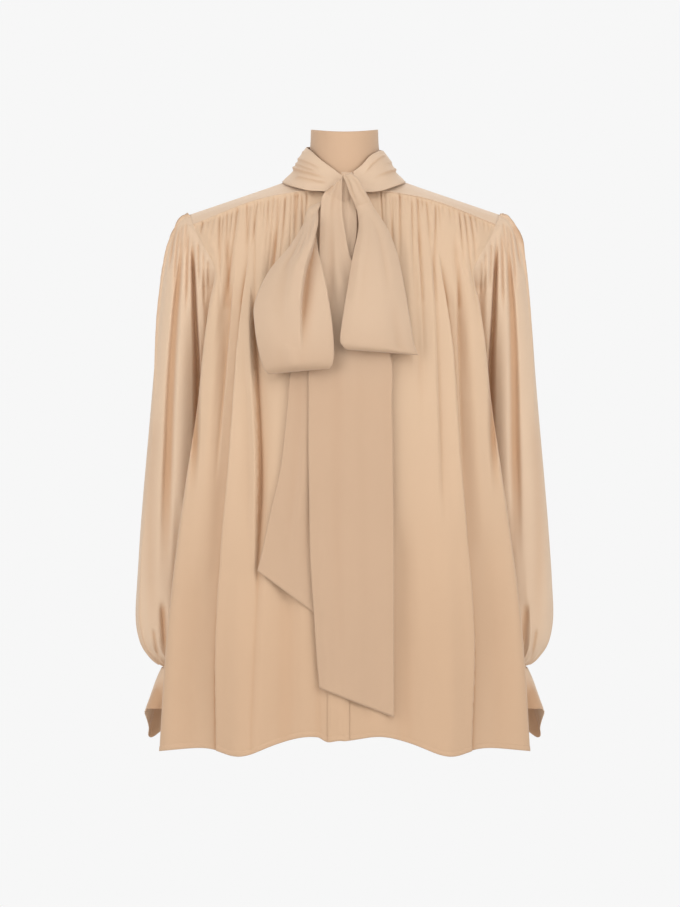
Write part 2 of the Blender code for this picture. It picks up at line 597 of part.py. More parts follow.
def crowded(fractions, amount):
    """Moves places on a ring towards its start, where the cap is gathered."""
    return fractions - amount * np.sin(2 * np.pi * fractions) / (2 * np.pi)


def sleeve_ring(ring, fractions):
    """A ring of a sleeve, from its outer point by the front and the inner side."""
    outer = np.array((ring.outer[0], 0.0, ring.outer[1]))
    inner = np.array((ring.inner[0], 0.0, ring.inner[1]))
    half = (outer - inner) / 2
    size = np.linalg.norm(half)
    draw = np.array((-half[2], 0.0, half[0])) / size
    turn = 2 * np.pi * fractions
    points = (outer + inner) / 2 + np.cos(turn)[:, None] * half
    points += (ring.bow * np.sin(turn) ** 2)[:, None] * draw
    points[:, 1] = ring.middle_y - ring.half_depth * np.sin(turn)
    return points


def sleeve_base(places, columns):
    """The plain sleeve on the +X side, ring by ring from the armhole to the wrist."""
    seam = armhole_path()
    closed = np.concatenate((seam, seam[:1]))
    cap = crowded(columns, CAP_CROWDING)
    rings = [spaced(closed, cap)]
    for number, ring in enumerate(SLEEVE):
        spread = eased(*CAP_SPREAD_RINGS, number)
        rings.append(sleeve_ring(ring, cap + (columns - cap) * spread))
    return smooth_rows(range(len(rings)), rings, places)


def sleeve_grid(side, places, columns):
    """A sleeve's outer surface with its folds."""
    places = np.asarray(places)
    grid = sleeve_base(places, columns)
    level = places[:, None]
    turn = 2 * np.pi * columns
    cap = np.clip(np.cos(turn / 2) ** 2 * 1.5 - 0.25, 0.0, 1.0)
    height = CAP_GATHER_HEIGHT * between(CAP_GATHER_RINGS, level) * cap
    height = height + WRIST_GATHER_HEIGHT * between(WRIST_GATHER_RINGS, level)
    height = height * in_turn(columns)
    drift = SLEEVE_DRIFT * np.sin(level / SLEEVE_DRIFT_RINGS + side) + SLEEVE_UNEVEN * np.sin(turn)
    inner = (1 - np.cos(turn)) / 2
    calm = 1 - inner * (1 - SLEEVE_INNER_SHARE * eased(*SLEEVE_INNER_RINGS, level))
    fold_height = SLEEVE_FOLD_HEIGHT * between(SLEEVE_FOLD_RINGS, level)
    height = height + fold_height * calm * np.cos(SLEEVE_FOLDS * turn + drift)
    grid = grid + outward(grid, ring=True) * height[:, :, None]
    middle = grid[0].mean(axis=0)
    grid[0, :, 1:] += (middle[1:] - grid[0, :, 1:]) * SEAM_DRAW
    grid[0, :, 0] += 2 * SEAM
    grid[:, :, 0] *= side
    return grid


def cuff_ring(columns, z):
    """A level ring of the cuff's band."""
    turn = 2 * np.pi * columns
    x = BAND_MIDDLE[0] + BAND_RADIUS * np.cos(turn)
    y = BAND_MIDDLE[1] - BAND_RADIUS * np.sin(turn)
    return np.stack((x, y, np.full_like(x, z)), axis=1)


def flare_grid(side, rows, columns):
    """The flare of a cuff, from the band to its rim."""
    rows = np.asarray(rows)
    rim = np.array(FLARE_RIM + FLARE_RIM[:1])
    rim = smooth_rows(np.linspace(0, 1, len(rim)), rim, columns)
    top = cuff_ring(columns, FLARE_TOP)
    spread = rows[:, None, None] ** np.array(FLARE_SPREAD)
    grid = top + (rim - top) * spread
    growth = FLARE_WAVE_HEIGHT * eased(FLARE_WAVE_START, 1.0, rows)[:, None]
    wave = growth * np.cos(2 * np.pi * FLARE_WAVES * columns)
    grid = grid + outward(grid, ring=True) * wave[:, :, None]
    grid[:, :, 0] *= side
    return grid


def collar_grid(rows, columns):
    """The stand collar, all round, from the neck seam to its top edge."""
    turn = 2 * np.pi * columns
    rings = []
    for ring in COLLAR:
        x = ring.half_width * np.sin(turn)
        y = ring.middle_y - ring.half_depth * np.cos(turn)
        share = (1 - np.cos(turn)) / 2
        z = ring.front_z + (ring.back_z - ring.front_z) * share
        rings.append(np.stack((x, y, z), axis=1))
    angles = np.minimum(columns, 1 - columns) * 360
    rings[0][:, 2] = smooth_rows(NECK_ANGLES, NECK_HEIGHTS, angles) + 2 * SEAM
    return smooth_rows(range(len(rings)), rings, rows)[:, ::-1]


def wrap_grid(side, table, columns, profile):
    """The scarf's turn round one side of the collar, from the back to the knot."""
    angles = [section.angle for section in table][::-1]
    values = [tuple(section)[1:] for section in table][::-1]
    at = table[0].angle + (table[-1].angle - table[0].angle) * np.asarray(columns)
    top, foot, stand, roll = smooth_rows(angles, values, at).T
    turn = np.radians(at)
    grid = []
    for share, puff in profile:
        z = foot + (top - foot) * share
        above = z - smooth_rows(NECK_ANGLES, NECK_HEIGHTS, at)
        lean = np.clip(above / LEAN_HEIGHT, 0.0, 1.0)
        out = stand + roll * puff
        half_width = NECK_HALF_WIDTH - LEAN_IN_SIDE * lean ** LEAN_POWER + out
        half_depth = NECK_HALF_DEPTH - LEAN_IN_FRONT * lean ** LEAN_POWER + out
        x = half_width * np.sin(turn)
        y = NECK_MIDDLE_Y + LEAN_BACK * lean - half_depth * np.cos(turn)
        grid.append(np.stack((x * side, y, z), axis=1))
    return np.array(grid)


def ribbon_grid(table, columns):
    """A ribbon of the bow: each row goes from edge to edge with its middle standing out."""
    columns = np.asarray(columns)
    left = np.array([row.left for row in table])
    right = np.array([row.right for row in table])
    out = np.array([row.out for row in table])
    grid = left[:, None] + (right - left)[:, None] * columns[None, :, None]
    grid[:, :, 1] -= out[:, None] * 4 * columns * (1 - columns)
    return grid


def front_depth(panels, x, z):
    """How far forward the fronts stand at a place seen from the front."""
    depth = []
    for px, pz in zip(x, z):
        panel = panels[0] if px < PLACKET_LEFT + SEAM else panels[1]
        line_y = []
        line_z = []
        for row in panel:
            order = np.argsort(row[:, 0])
            line_y.append(np.interp(px, row[order, 0], row[order, 1]))
            line_z.append(np.interp(px, row[order, 0], row[order, 2]))
        order = np.argsort(line_z)
        depth.append(np.interp(pz, np.array(line_z)[order], np.array(line_y)[order]))
    return np.array(depth)


def tail_grid(table, panels, columns, wave_height):
    """A tail that hangs down the fronts, just clear of them."""
    columns = np.asarray(columns)
    grid = []
    places = np.linspace(0, len(table) - 1, TAIL_ROWS)
    for values in smooth_rows(range(len(table)), table, places):
        row = TailRow(*values)
        x = row.left_x + (row.right_x - row.left_x) * columns
        z = row.left_z + (row.right_z - row.left_z) * columns
        wave = wave_height * (1 + np.cos(2 * np.pi * TAIL_WAVES * columns))
        y = front_depth(panels, x, z) - row.clear - wave
        grid.append(np.stack((x, y, z), axis=1))
    return np.array(grid)


def new_material(name, colour):
    """A plain cloth finish."""
    material = bpy.data.materials.new(name)
    material.use_nodes = True
    shader = material.node_tree.nodes["Principled BSDF"]
    shader.inputs["Base Color"].default_value = (*colour, 1.0)
    shader.inputs["Roughness"].default_value = CLOTH_ROUGHNESS
    shader.inputs["Metallic"].default_value = 0.0
    material.diffuse_color = (*colour, 1.0)
    return material


def strip_faces(first, second, ring):
    """Faces between two rows of point numbers, of equal count or two to one."""
    faces = []
    above = list(first)
    below = list(second)
    if ring:
        above.append(first[0])
        below.append(second[0])
    if len(above) == len(below):
        for n in range(len(above) - 1):
            faces.append((above[n], below[n], below[n + 1], above[n + 1]))
    elif len(above) > len(below):
        for n in range(len(below) - 1):
            faces.append((above[2 * n], below[n], above[2 * n + 1]))
            faces.append((above[2 * n + 1], below[n], below[n + 1]))
            faces.append((above[2 * n + 1], below[n + 1], above[2 * n + 2]))
    else:
        for n in range(len(above) - 1):
            faces.append((above[n], below[2 * n], below[2 * n + 1]))
            faces.append((above[n], below[2 * n + 1], above[n + 1]))
            faces.append((above[n + 1], below[2 * n + 1], below[2 * n + 2]))
    return faces


def add_cloth(collection, name, rows, material, ring=False, turned=False):
    """One piece of cloth: a surface through rows of points, made a wall inwards."""
    points = []
    numbers = []
    for row in rows:
        numbers.append(list(range(len(points), len(points) + len(row))))
        points.extend(tuple(point) for point in row)
    faces = []
    for above, below in zip(numbers, numbers[1:]):
        faces.extend(strip_faces(above, below, ring))
    if turned:
        faces = [tuple(reversed(face)) for face in faces]
    mesh = bpy.data.meshes.new(name)
    mesh.from_pydata(points, [], faces)
    mesh.shade_smooth()
    piece = bpy.data.objects.new(name, mesh)
    piece.data.materials.append(material)
    collection.objects.link(piece)
    wall = piece.modifiers.new("Wall", "SOLIDIFY")
    wall.thickness = WALL
    wall.offset = -1.0
    wall.use_even_offset = False
    return piece


def even(count):
    """Fractions from 0 to 1 with the given number of steps."""
    return np.linspace(0.0, 1.0, count + 1)


def even_ring(count):
    """Fractions round a ring, without the last one, which is the first again."""
    return np.arange(count) / count


def add_body(collection, material):
    """The two fronts, the strip down their opening, and the back."""
    panels = []
    for name, side in (("front_right", -1), ("front_left", 1)):
        top = front_grid(side, GATHERED_DROPS, even(FRONT_COLUMNS))
        lower = front_grid(side, LOWER_DROPS, even(FRONT_COLUMNS // 2))
        rows = list(top) + list(lower[1:])
        add_cloth(collection, name, rows, material, turned=side < 0)
        panels.append(rows)
    top = back_grid(GATHERED_DROPS, even(BACK_COLUMNS))
    lower = back_grid(LOWER_DROPS, even(BACK_COLUMNS // 2))
    add_cloth(collection, "back", list(top) + list(lower[1:]), material)
    return panels


def add_placket(collection, panels, material):
    """The strip of the right front that lies over the left front's edge."""
    x = np.linspace(PLACKET_LEFT + 2 * OPENING_GAP, PLACKET_RIGHT, PLACKET_POINTS)
    rows = []
    for row in panels[1][PLACKET_FIRST_ROW:]:
        y = np.interp(x, row[:, 0], row[:, 1]) - LAID_ON
        z = np.interp(x, row[:, 0], row[:, 2])
        rows.append(np.stack((x, y, z), axis=1))
    add_cloth(collection, "placket", rows, material)


def add_yoke(collection, material):
    """The yoke: one piece over both shoulders and across the back, its wall outwards."""
    shoulder = np.linspace(0, ARMHOLE_END_RIB, YOKE_SHOULDER_RIBS)
    across = np.linspace(ARMHOLE_END_RIB, len(YOKE) - 1, YOKE_BACK_RIBS + 1)
    places = np.concatenate((shoulder, across[1:]))
    half = [spaced(yoke_rib_path(place), even(YOKE_COLUMNS)) for place in places]
    other = [rib * np.array((-1.0, 1.0, 1.0)) for rib in half[-2::-1]]
    ribs = np.array(half + other)
    add_cloth(collection, "yoke", ribs, material)


def add_sleeves(collection, material):
    """Each sleeve, its cuff's band and its cuff's flare."""
    for name, side in (("right", -1), ("left", 1)):
        columns = even_ring(SLEEVE_COLUMNS)
        half_columns = even_ring(SLEEVE_COLUMNS // 2)
        cap = sleeve_grid(side, CAP_RINGS, columns)
        arm = sleeve_grid(side, ARM_RINGS, half_columns)
        wrist = sleeve_grid(side, WRIST_RINGS, columns)
        rows = list(cap) + list(arm[1:-1]) + list(wrist)
        add_cloth(collection, "sleeve_" + name, rows, material, ring=True, turned=side > 0)
        cuff = even_ring(CUFF_COLUMNS)
        band = [cuff_ring(cuff, z) * np.array((side, 1, 1)) for z in (BAND_TOP, BAND_FOOT)]
        add_cloth(collection, "cuff_band_" + name, band, material, ring=True, turned=side > 0)
        flare = flare_grid(side, FLARE_ROWS, cuff)
        add_cloth(collection, "cuff_flare_" + name, flare, material, ring=True, turned=side > 0)


def add_neck(collection, material):
    """The stand collar and the scarf's two turns round it."""
    collar = collar_grid(range(len(COLLAR)), even_ring(COLLAR_COLUMNS))
    add_cloth(collection, "collar_stand", collar, material, ring=True)
    for name, side, table in (("right", -1, RIGHT_WRAP), ("left", 1, LEFT_WRAP)):
        grid = wrap_grid(side, table, even(WRAP_COLUMNS), WRAP_PROFILE)
        add_cloth(collection, "scarf_wrap_" + name, grid, material, turned=side > 0)


def add_bow(collection, panels, material):
    """The knot, the two loops and the two tails."""
    columns = even(LOOP_COLUMNS)
    add_cloth(collection, "knot", ribbon_grid(KNOT, even(KNOT_COLUMNS)), material)
    add_cloth(collection, "loop_left", ribbon_grid(LEFT_LOOP, columns), material)
    add_cloth(collection, "loop_right", ribbon_grid(RIGHT_LOOP, columns), material)
    tails = (("tail_long", LONG_TAIL, LONG_TAIL_WAVE), ("tail_short", SHORT_TAIL, SHORT_TAIL_WAVE))
    for name, table, wave_height in tails:
        grid = tail_grid(table, panels, even(TAIL_COLUMNS), wave_height)
        add_cloth(collection, name, grid, material)


def main():
    """Clears the scene and makes the blouse."""
    for thing in list(bpy.data.objects):
        bpy.data.objects.remove(thing)
    collection = bpy.data.collections.new("tie_neck_blouse")
    bpy.context.scene.collection.children.link(collection)
    finish = {name: new_material("cloth_" + name, colour) for name, colour in CLOTH_COLOURS.items()}
    panels = add_body(collection, finish["body"])
    add_placket(collection, panels, finish["body"])
    add_yoke(collection, finish["neck"])
    add_sleeves(collection, finish["sleeve"])
    add_neck(collection, finish["neck"])
    add_bow(collection, panels, finish["bow"])


main()
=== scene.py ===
"""The looks of a tie neck blouse: its cloth, gathers, sewing, bow, studio stage and camera.

Metres, +Z up.  The front faces -Y and the wearer's left side lies at +X.  Every piece of
cloth follows the solid that it stands for, with finer folds, gathers, hems and stitches.
"""

from collections import namedtuple
from functools import lru_cache, partial

import bpy
import numpy as np
from bpy.props import FloatProperty, FloatVectorProperty, PointerProperty
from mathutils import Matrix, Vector


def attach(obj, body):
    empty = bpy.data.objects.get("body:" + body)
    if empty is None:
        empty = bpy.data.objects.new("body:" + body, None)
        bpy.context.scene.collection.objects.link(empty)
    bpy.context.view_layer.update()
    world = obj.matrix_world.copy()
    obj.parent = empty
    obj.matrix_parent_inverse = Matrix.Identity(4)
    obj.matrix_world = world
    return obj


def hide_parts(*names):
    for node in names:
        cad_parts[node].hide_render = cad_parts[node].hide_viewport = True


bl_info = {
    "name": "Tie neck blouse",
    "version": (1, 0, 0),
    "blender": (4, 5, 0),
    "location": "View3D > Sidebar > Blouse",
    "description": "Makes the cloth, sewing and stage of a tie neck blouse",
    "category": "Object",
}

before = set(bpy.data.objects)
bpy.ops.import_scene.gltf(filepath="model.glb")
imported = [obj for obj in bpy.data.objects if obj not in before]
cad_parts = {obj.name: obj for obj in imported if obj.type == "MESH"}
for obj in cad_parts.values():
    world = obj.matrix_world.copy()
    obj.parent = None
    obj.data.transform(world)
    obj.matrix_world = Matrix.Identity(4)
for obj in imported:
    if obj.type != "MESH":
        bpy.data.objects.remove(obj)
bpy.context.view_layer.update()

# Half the gap of a seam, and how far the front strip stands off the left front
SEAM = 0.0003
LAID_ON = 0.0012

# Turns a half on the +X side into the half on the -X side
MIRROR = np.array((-1.0, 1.0, 1.0))

# Neck opening: an oval that rises from the front to the back
NECK_HALF_WIDTH = 0.060
NECK_HALF_DEPTH = 0.064
NECK_MIDDLE_Y = 0.002
NECK_ANGLES = (0, 41, 90, 135, 180)
NECK_HEIGHTS = (-0.036, -0.017, 0.003, 0.011, 0.015)
NECK_FRONT_SEAM = 41
NECK_POINTS = 20

# Stand collar, by its rings from the neck seam to the top edge
CollarRing = namedtuple("CollarRing", "half_width half_depth middle_y front_z back_z")
COLLAR = (
    CollarRing(0.0590, 0.0630, 0.002, -0.0355, 0.0160),
    CollarRing(0.0520, 0.0575, 0.004, 0.0000, 0.0340),
    CollarRing(0.0462, 0.0550, 0.005, 0.0320, 0.0520),
    CollarRing(0.0448, 0.0540, 0.005, 0.0600, 0.0690),
)
COLLAR_ROWS = 36
COLLAR_COLUMNS = 150
COLLAR_SIDE_RISE = 0.0030
COLLAR_FRONT_DIP = 0.0006

# Painted shade on the collar: it is painted a little darker all round, with the fold shade of a
# fold this deep
COLLAR_SHADE = -0.0020

# Yoke, from the front seam over the shoulder to the middle of the back
YokeRib = namedtuple("YokeRib", "neck_angle middle outer")
YOKE = (
    YokeRib(41, (0.109, -0.046, -0.0295), (0.200, -0.038, -0.0630)),
    YokeRib(66, (0.117, -0.026, -0.0235), (0.204, -0.020, -0.0525)),
    YokeRib(90, (0.121, 0.002, -0.0180), (0.206, 0.002, -0.0470)),
    YokeRib(112, (0.120, 0.030, -0.0210), (0.204, 0.028, -0.0535)),
    YokeRib(134, (0.114, 0.060, -0.0340), (0.194, 0.062, -0.0800)),
    YokeRib(148, (0.078, 0.077, -0.0330), (0.135, 0.086, -0.0885)),
    YokeRib(163, (0.040, 0.083, -0.0300), (0.070, 0.096, -0.0930)),
    YokeRib(180, (0.000, 0.085, -0.0290), (0.000, 0.099, -0.0945)),
)
SHOULDER_TOP_RIB = 2
ARMHOLE_END_RIB = 4
YOKE_RIB_RUNS = ((0, 4, 40), (4, 7, 41))
YOKE_COLUMNS = 60

# Body, by its rows from the yoke seam to the hem.  The corner is where the panel turns
# from the front or back to the side, and the edge is its armhole or side seam.
BodyRow = namedtuple("BodyRow", "drop middle corner edge")
FRONT = (
    BodyRow(0.000, (-0.0620, -0.0360), None, None),
    BodyRow(0.025, (-0.0790, -0.0630), (0.184, -0.058, -0.088), (0.187, -0.048, -0.089)),
    BodyRow(0.053, (-0.0990, -0.0940), (0.171, -0.069, -0.116), (0.172, -0.0535, -0.119)),
    BodyRow(0.109, (-0.1270, -0.1560), (0.177, -0.088, -0.172), (0.165, -0.046, -0.175)),
    BodyRow(0.150, (-0.1380, -0.1980), (0.183, -0.092, -0.214), (0.163, -0.035, -0.214)),
    BodyRow(0.175, (-0.1420, -0.2230), (0.186, -0.093, -0.238), (0.162, 0.005, -0.238)),
    BodyRow(0.187, (-0.1430, -0.2350), (0.187, -0.093, -0.250), (0.161, 0.006, -0.250)),
    BodyRow(0.267, (-0.1510, -0.3150), (0.196, -0.096, -0.330), (0.157, 0.008, -0.330)),
    BodyRow(0.387, (-0.1590, -0.4350), (0.211, -0.099, -0.450), (0.153, 0.009, -0.450)),
    BodyRow(0.537, (-0.1660, -0.5830), (0.229, -0.102, -0.600), (0.151, 0.010, -0.600)),
    BodyRow(0.688, (-0.1720, -0.7330), (0.240, -0.106, -0.751), (0.150, 0.010, -0.745)),
)
BACK = (
    BodyRow(0.000, (0.0990, -0.0945), None, None),
    BodyRow(0.025, (0.1060, -0.1200), (0.182, 0.074, -0.104), (0.185, 0.067, -0.104)),
    BodyRow(0.053, (0.1120, -0.1460), (0.174, 0.084, -0.133), (0.173, 0.070, -0.133)),
    BodyRow(0.109, (0.1190, -0.1880), (0.179, 0.094, -0.181), (0.166, 0.056, -0.181)),
    BodyRow(0.150, (0.1225, -0.2190), (0.185, 0.098, -0.216), (0.163, 0.044, -0.216)),
    BodyRow(0.175, (0.1240, -0.2400), (0.188, 0.099, -0.238), (0.162, 0.005, -0.238)),
    BodyRow(0.187, (0.1246, -0.2520), (0.189, 0.099, -0.250), (0.161, 0.006, -0.250)),
    BodyRow(0.267, (0.1290, -0.3300), (0.199, 0.103, -0.330), (0.157, 0.008, -0.330)),
    BodyRow(0.387, (0.1350, -0.4500), (0.212, 0.107, -0.450), (0.153, 0.009, -0.450)),
    BodyRow(0.537, (0.1420, -0.6000), (0.227, 0.111, -0.600), (0.151, 0.010, -0.600)),
    BodyRow(0.688, (0.1500, -0.7480), (0.238, 0.116, -0.749), (0.150, 0.010, -0.745)),
)
ARMHOLE_ROWS = 6

# How a row rounds out from the middle to its corner and turns from there to its edge, the
# points on a dense row and on its flank, and where the yoke seam turns to the armhole
ROUNDING = 2.2
ROUNDING_SHARES = (0.25, 0.5, 0.76)
FLANK_TURN = (0.60, 0.27, 0.5)
FLANK_LEAST = 0.030
FINE = 240
FLANK_POINTS = 60
SEAM_CORNER = 0.97

# Front opening: the strip of the right front lies over the left front, and folds begin a
# share of the way across.  The strip reaches past the opening by its lap.
PLACKET_LEFT = -0.0200
PLACKET_RIGHT = 0.0060
OPENING_GAP = 0.0006
OPENING_CALM = 0.05
PLACKET_LAP = 0.0016
PLACKET_COLUMNS = 30
PLACKET_SKIPPED_ROWS = 12
PLACKET_STITCH_COLUMN = 3

# Flutes of the hem: a wave that grows from the waist down
FLUTE_START = -0.300
FLUTE_END = -0.750
FRONT_FLUTE_CREST = 0.130
FRONT_FLUTE_HOLLOW = 0.045
FRONT_FLUTE_WIDTH = 0.034
FRONT_HOLLOW_SHARE = 0.45
FRONT_FLUTE_HEIGHT = 0.0120
FRONT_FLUTE_DROP = 0.0150
BACK_FLUTE_LENGTH = 0.118
BACK_FLUTE_HEIGHT = 0.0100
BACK_FLUTE_DROP = 0.0060

# Sleeve, by its rings from the cap to the wrist.  Outer and inner are the points of the
# ring farthest from the body and nearest to it, and bow draws its sides to the body.
SleeveRing = namedtuple("SleeveRing", "outer inner middle_y half_depth bow")
SLEEVE = (
    SleeveRing((0.2190, -0.0505), (0.1675, -0.2420), 0.006, 0.0590, 0.0115),
    SleeveRing((0.2310, -0.0770), (0.1690, -0.2460), 0.006, 0.0600, 0.0090),
    SleeveRing((0.2390, -0.1130), (0.1705, -0.2500), 0.006, 0.0590, 0.0060),
    SleeveRing((0.2445, -0.1530), (0.1715, -0.2550), 0.007, 0.0580, 0.0030),
    SleeveRing((0.2500, -0.2050), (0.1722, -0.2660), 0.008, 0.0575, 0.0010),
    SleeveRing((0.2550, -0.2620), (0.1722, -0.2860), 0.008, 0.0580, 0.0000),
    SleeveRing((0.2610, -0.3320), (0.1705, -0.3340), 0.008, 0.0590, 0.0000),
    SleeveRing((0.2675, -0.4050), (0.1690, -0.4050), 0.008, 0.0600, 0.0000),
    SleeveRing((0.2730, -0.4740), (0.1680, -0.4740), 0.008, 0.0610, 0.0000),
    SleeveRing((0.2765, -0.5400), (0.1690, -0.5400), 0.008, 0.0620, 0.0000),
    SleeveRing((0.2770, -0.5860), (0.1710, -0.5860), 0.007, 0.0610, 0.0000),
    SleeveRing((0.2705, -0.6160), (0.1750, -0.6160), 0.005, 0.0560, 0.0000),
    SleeveRing((0.2570, -0.6350), (0.1790, -0.6350), 0.003, 0.0440, 0.0000),
    SleeveRing((0.2430, -0.6450), (0.1820, -0.6450), 0.002, 0.0305, 0.0000),
)

# Runs of rows down a sleeve as first ring, last ring and count, and how far the columns
# crowd towards the shoulder at the cap
SLEEVE_ROW_RUNS = ((0, 3, 44), (3, 11, 54), (11, 14, 36))
SLEEVE_COLUMNS = 296
CAP_CROWDING = 0.45
CAP_SPREAD_RINGS = (2, 6)

# Cuff: a narrow band and the flare that hangs from it, whose rim is given by its points
BAND_MIDDLE = (0.2125, 0.002)
BAND_RADIUS = 0.0305
BAND_TOP = -0.6454
BAND_FOOT = -0.6570
BAND_TOP_GAP = 0.001
BAND_ROWS = 12
BAND_ROLL = 0.0006
CUFF_COLUMNS = 112
FLARE_ROWS = 48
FLARE_TOP = -0.6500
FLARE_OVER_BAND = 1.035
FLARE_SPREAD = (0.95, 0.95, 1.0)
FLARE_RIM = (
    (0.2705, 0.008, -0.7075),
    (0.2630, -0.012, -0.7050),
    (0.2510, -0.028, -0.7030),
    (0.2370, -0.035, -0.7015),
    (0.2220, -0.038, -0.7000),
    (0.2060, -0.032, -0.7040),
    (0.1900, -0.022, -0.7080),
    (0.1820, -0.004, -0.7140),
    (0.1780, 0.014, -0.7200),
    (0.1830, 0.033, -0.7270),
    (0.1920, 0.046, -0.7320),
    (0.2070, 0.054, -0.7330),
    (0.2240, 0.056, -0.7300),
    (0.2430, 0.050, -0.7330),
    (0.2595, 0.040, -0.7475),
    (0.2620, 0.026, -0.7330),
)
FLARE_WAVES = 5
FLARE_WAVE_HEIGHT = 0.0035
FLARE_WAVE_START = 0.1

# Scarf round the collar: angle from the front in degrees, the heights of its upper and lower
# edge, how far it stands off the collar, and how far it rolls out beyond that
WrapSection = namedtuple("WrapSection", "angle top foot stand roll")
RIGHT_WRAP = (
    WrapSection(179.7, 0.052, 0.0190, 0.0016, 0.0090),
    WrapSection(150, 0.051, 0.0150, 0.0016, 0.0100),
    WrapSection(115, 0.047, 0.0085, 0.0024, 0.0120),
    WrapSection(90, 0.044, 0.0030, 0.0030, 0.0120),
    WrapSection(62, 0.037, -0.0060, 0.0040, 0.0090),
    WrapSection(36, 0.022, -0.0150, 0.0040, 0.0050),
    WrapSection(14, 0.008, -0.0215, 0.0045, 0.0040),
    WrapSection(2.5, 0.000, -0.0220, 0.0050, 0.0040),
)
LEFT_WRAP = (
    WrapSection(179.7, 0.050, 0.0190, 0.0016, 0.0090),
    WrapSection(150, 0.048, 0.0150, 0.0016, 0.0100),
    WrapSection(115, 0.043, 0.0085, 0.0024, 0.0110),
    WrapSection(90, 0.039, 0.0030, 0.0030, 0.0110),
    WrapSection(62, 0.036, -0.0050, 0.0040, 0.0090),
    WrapSection(38, 0.026, -0.0150, 0.0045, 0.0060),
    WrapSection(24, 0.014, -0.0200, 0.0050, 0.0050),
    WrapSection(12, 0.006, -0.0190, 0.0060, 0.0050),
)

# How the collar's wall leans in, which the scarf follows
LEAN_HEIGHT = 0.045
LEAN_POWER = 0.8
LEAN_IN_SIDE = 0.0135
LEAN_IN_FRONT = 0.0085
LEAN_BACK = 0.002

# Bow: each ribbon by its rows, an edge on either side and how far its middle stands out
RibbonRow = namedtuple("RibbonRow", "left right out")
KNOT = (
    RibbonRow((-0.0020, -0.0720, 0.0000), (0.0100, -0.0715, 0.0040), 0.0010),
    RibbonRow((-0.0020, -0.0760, -0.0020), (0.0112, -0.0755, 0.0010), 0.0030),
    RibbonRow((0.0022, -0.0790, -0.0120), (0.0187, -0.0780, -0.0060), 0.0040),
    RibbonRow((0.0062, -0.0805, -0.0240), (0.0250, -0.0785, -0.0180), 0.0045),
    RibbonRow((0.0120, -0.0820, -0.0370), (0.0320, -0.0795, -0.0310), 0.0045),
    RibbonRow((0.0160, -0.0840, -0.0475), (0.0376, -0.0805, -0.0425), 0.0045),
)
KNOT_ROWS = 50
KNOT_COLUMNS = 36

# The knot's end sinks between these rows, so that the left loop comes out over it
KNOT_END_ROWS = (3.9, 5.0)
KNOT_END_SINK = 0.0032
LEFT_LOOP = (
    RibbonRow((0.0122, -0.0800, -0.0375), (0.0322, -0.0775, -0.0315), 0.0040),
    RibbonRow((0.0162, -0.0842, -0.0480), (0.0380, -0.0808, -0.0430), 0.0045),
    RibbonRow((0.0180, -0.0990, -0.0720), (0.0560, -0.0930, -0.0720), 0.0070),
    RibbonRow((0.0105, -0.1260, -0.1090), (0.0690, -0.1160, -0.1090), 0.0090),
    RibbonRow((0.0030, -0.1470, -0.1550), (0.0780, -0.1330, -0.1550), 0.0110),
    RibbonRow((-0.0040, -0.1590, -0.1990), (0.0850, -0.1450, -0.1990), 0.0130),
    RibbonRow((-0.0060, -0.1640, -0.2200), (0.0890, -0.1490, -0.2240), 0.0130),
    RibbonRow((-0.0010, -0.1640, -0.2290), (0.0930, -0.1500, -0.2350), 0.0110),
    RibbonRow((0.0040, -0.1610, -0.2320), (0.0945, -0.1470, -0.2385), 0.0040),
    RibbonRow((0.0030, -0.1575, -0.2280), (0.0920, -0.1440, -0.2350), -0.0010),
    RibbonRow((-0.0010, -0.1550, -0.2150), (0.0860, -0.1410, -0.2180), 0.0010),
    RibbonRow((0.0020, -0.1460, -0.1700), (0.0740, -0.1340, -0.1700), 0.0010),
    RibbonRow((0.0110, -0.1210, -0.1150), (0.0600, -0.1110, -0.1150), 0.0010),
    RibbonRow((0.0200, -0.0930, -0.0700), (0.0420, -0.0890, -0.0700), 0.0010),
)
RIGHT_LOOP = (
    RibbonRow((-0.0345, -0.0670, -0.0360), (-0.0240, -0.0680, -0.0310), 0.0005),
    RibbonRow((-0.0470, -0.0766, -0.0450), (-0.0350, -0.0780, -0.0480), 0.0015),
    RibbonRow((-0.0560, -0.0930, -0.0700), (-0.0350, -0.0990, -0.0730), 0.0060),
    RibbonRow((-0.0730, -0.1110, -0.0980), (-0.0310, -0.1210, -0.0980), 0.0090),
    RibbonRow((-0.0980, -0.1240, -0.1290), (-0.0270, -0.1390, -0.1260), 0.0110),
    RibbonRow((-0.1160, -0.1350, -0.1700), (-0.0205, -0.1540, -0.1650), 0.0130),
    RibbonRow((-0.1160, -0.1430, -0.2000), (-0.0160, -0.1610, -0.1970), 0.0140),
    RibbonRow((-0.1110, -0.1490, -0.2320), (-0.0135, -0.1670, -0.2300), 0.0140),
    RibbonRow((-0.1045, -0.1520, -0.2540), (-0.0150, -0.1690, -0.2480), 0.0120),
    RibbonRow((-0.0985, -0.1500, -0.2625), (-0.0190, -0.1660, -0.2560), 0.0050),
    RibbonRow((-0.0990, -0.1465, -0.2590), (-0.0200, -0.1620, -0.2530), 0.0000),
    RibbonRow((-0.1020, -0.1420, -0.2350), (-0.0200, -0.1580, -0.2350), 0.0010),
    RibbonRow((-0.1000, -0.1320, -0.1850), (-0.0240, -0.1500, -0.1850), 0.0010),
    RibbonRow((-0.0820, -0.1170, -0.1300), (-0.0300, -0.1310, -0.1300), 0.0010),
    RibbonRow((-0.0560, -0.0960, -0.0800), (-0.0375, -0.1010, -0.0800), 0.0010),
)

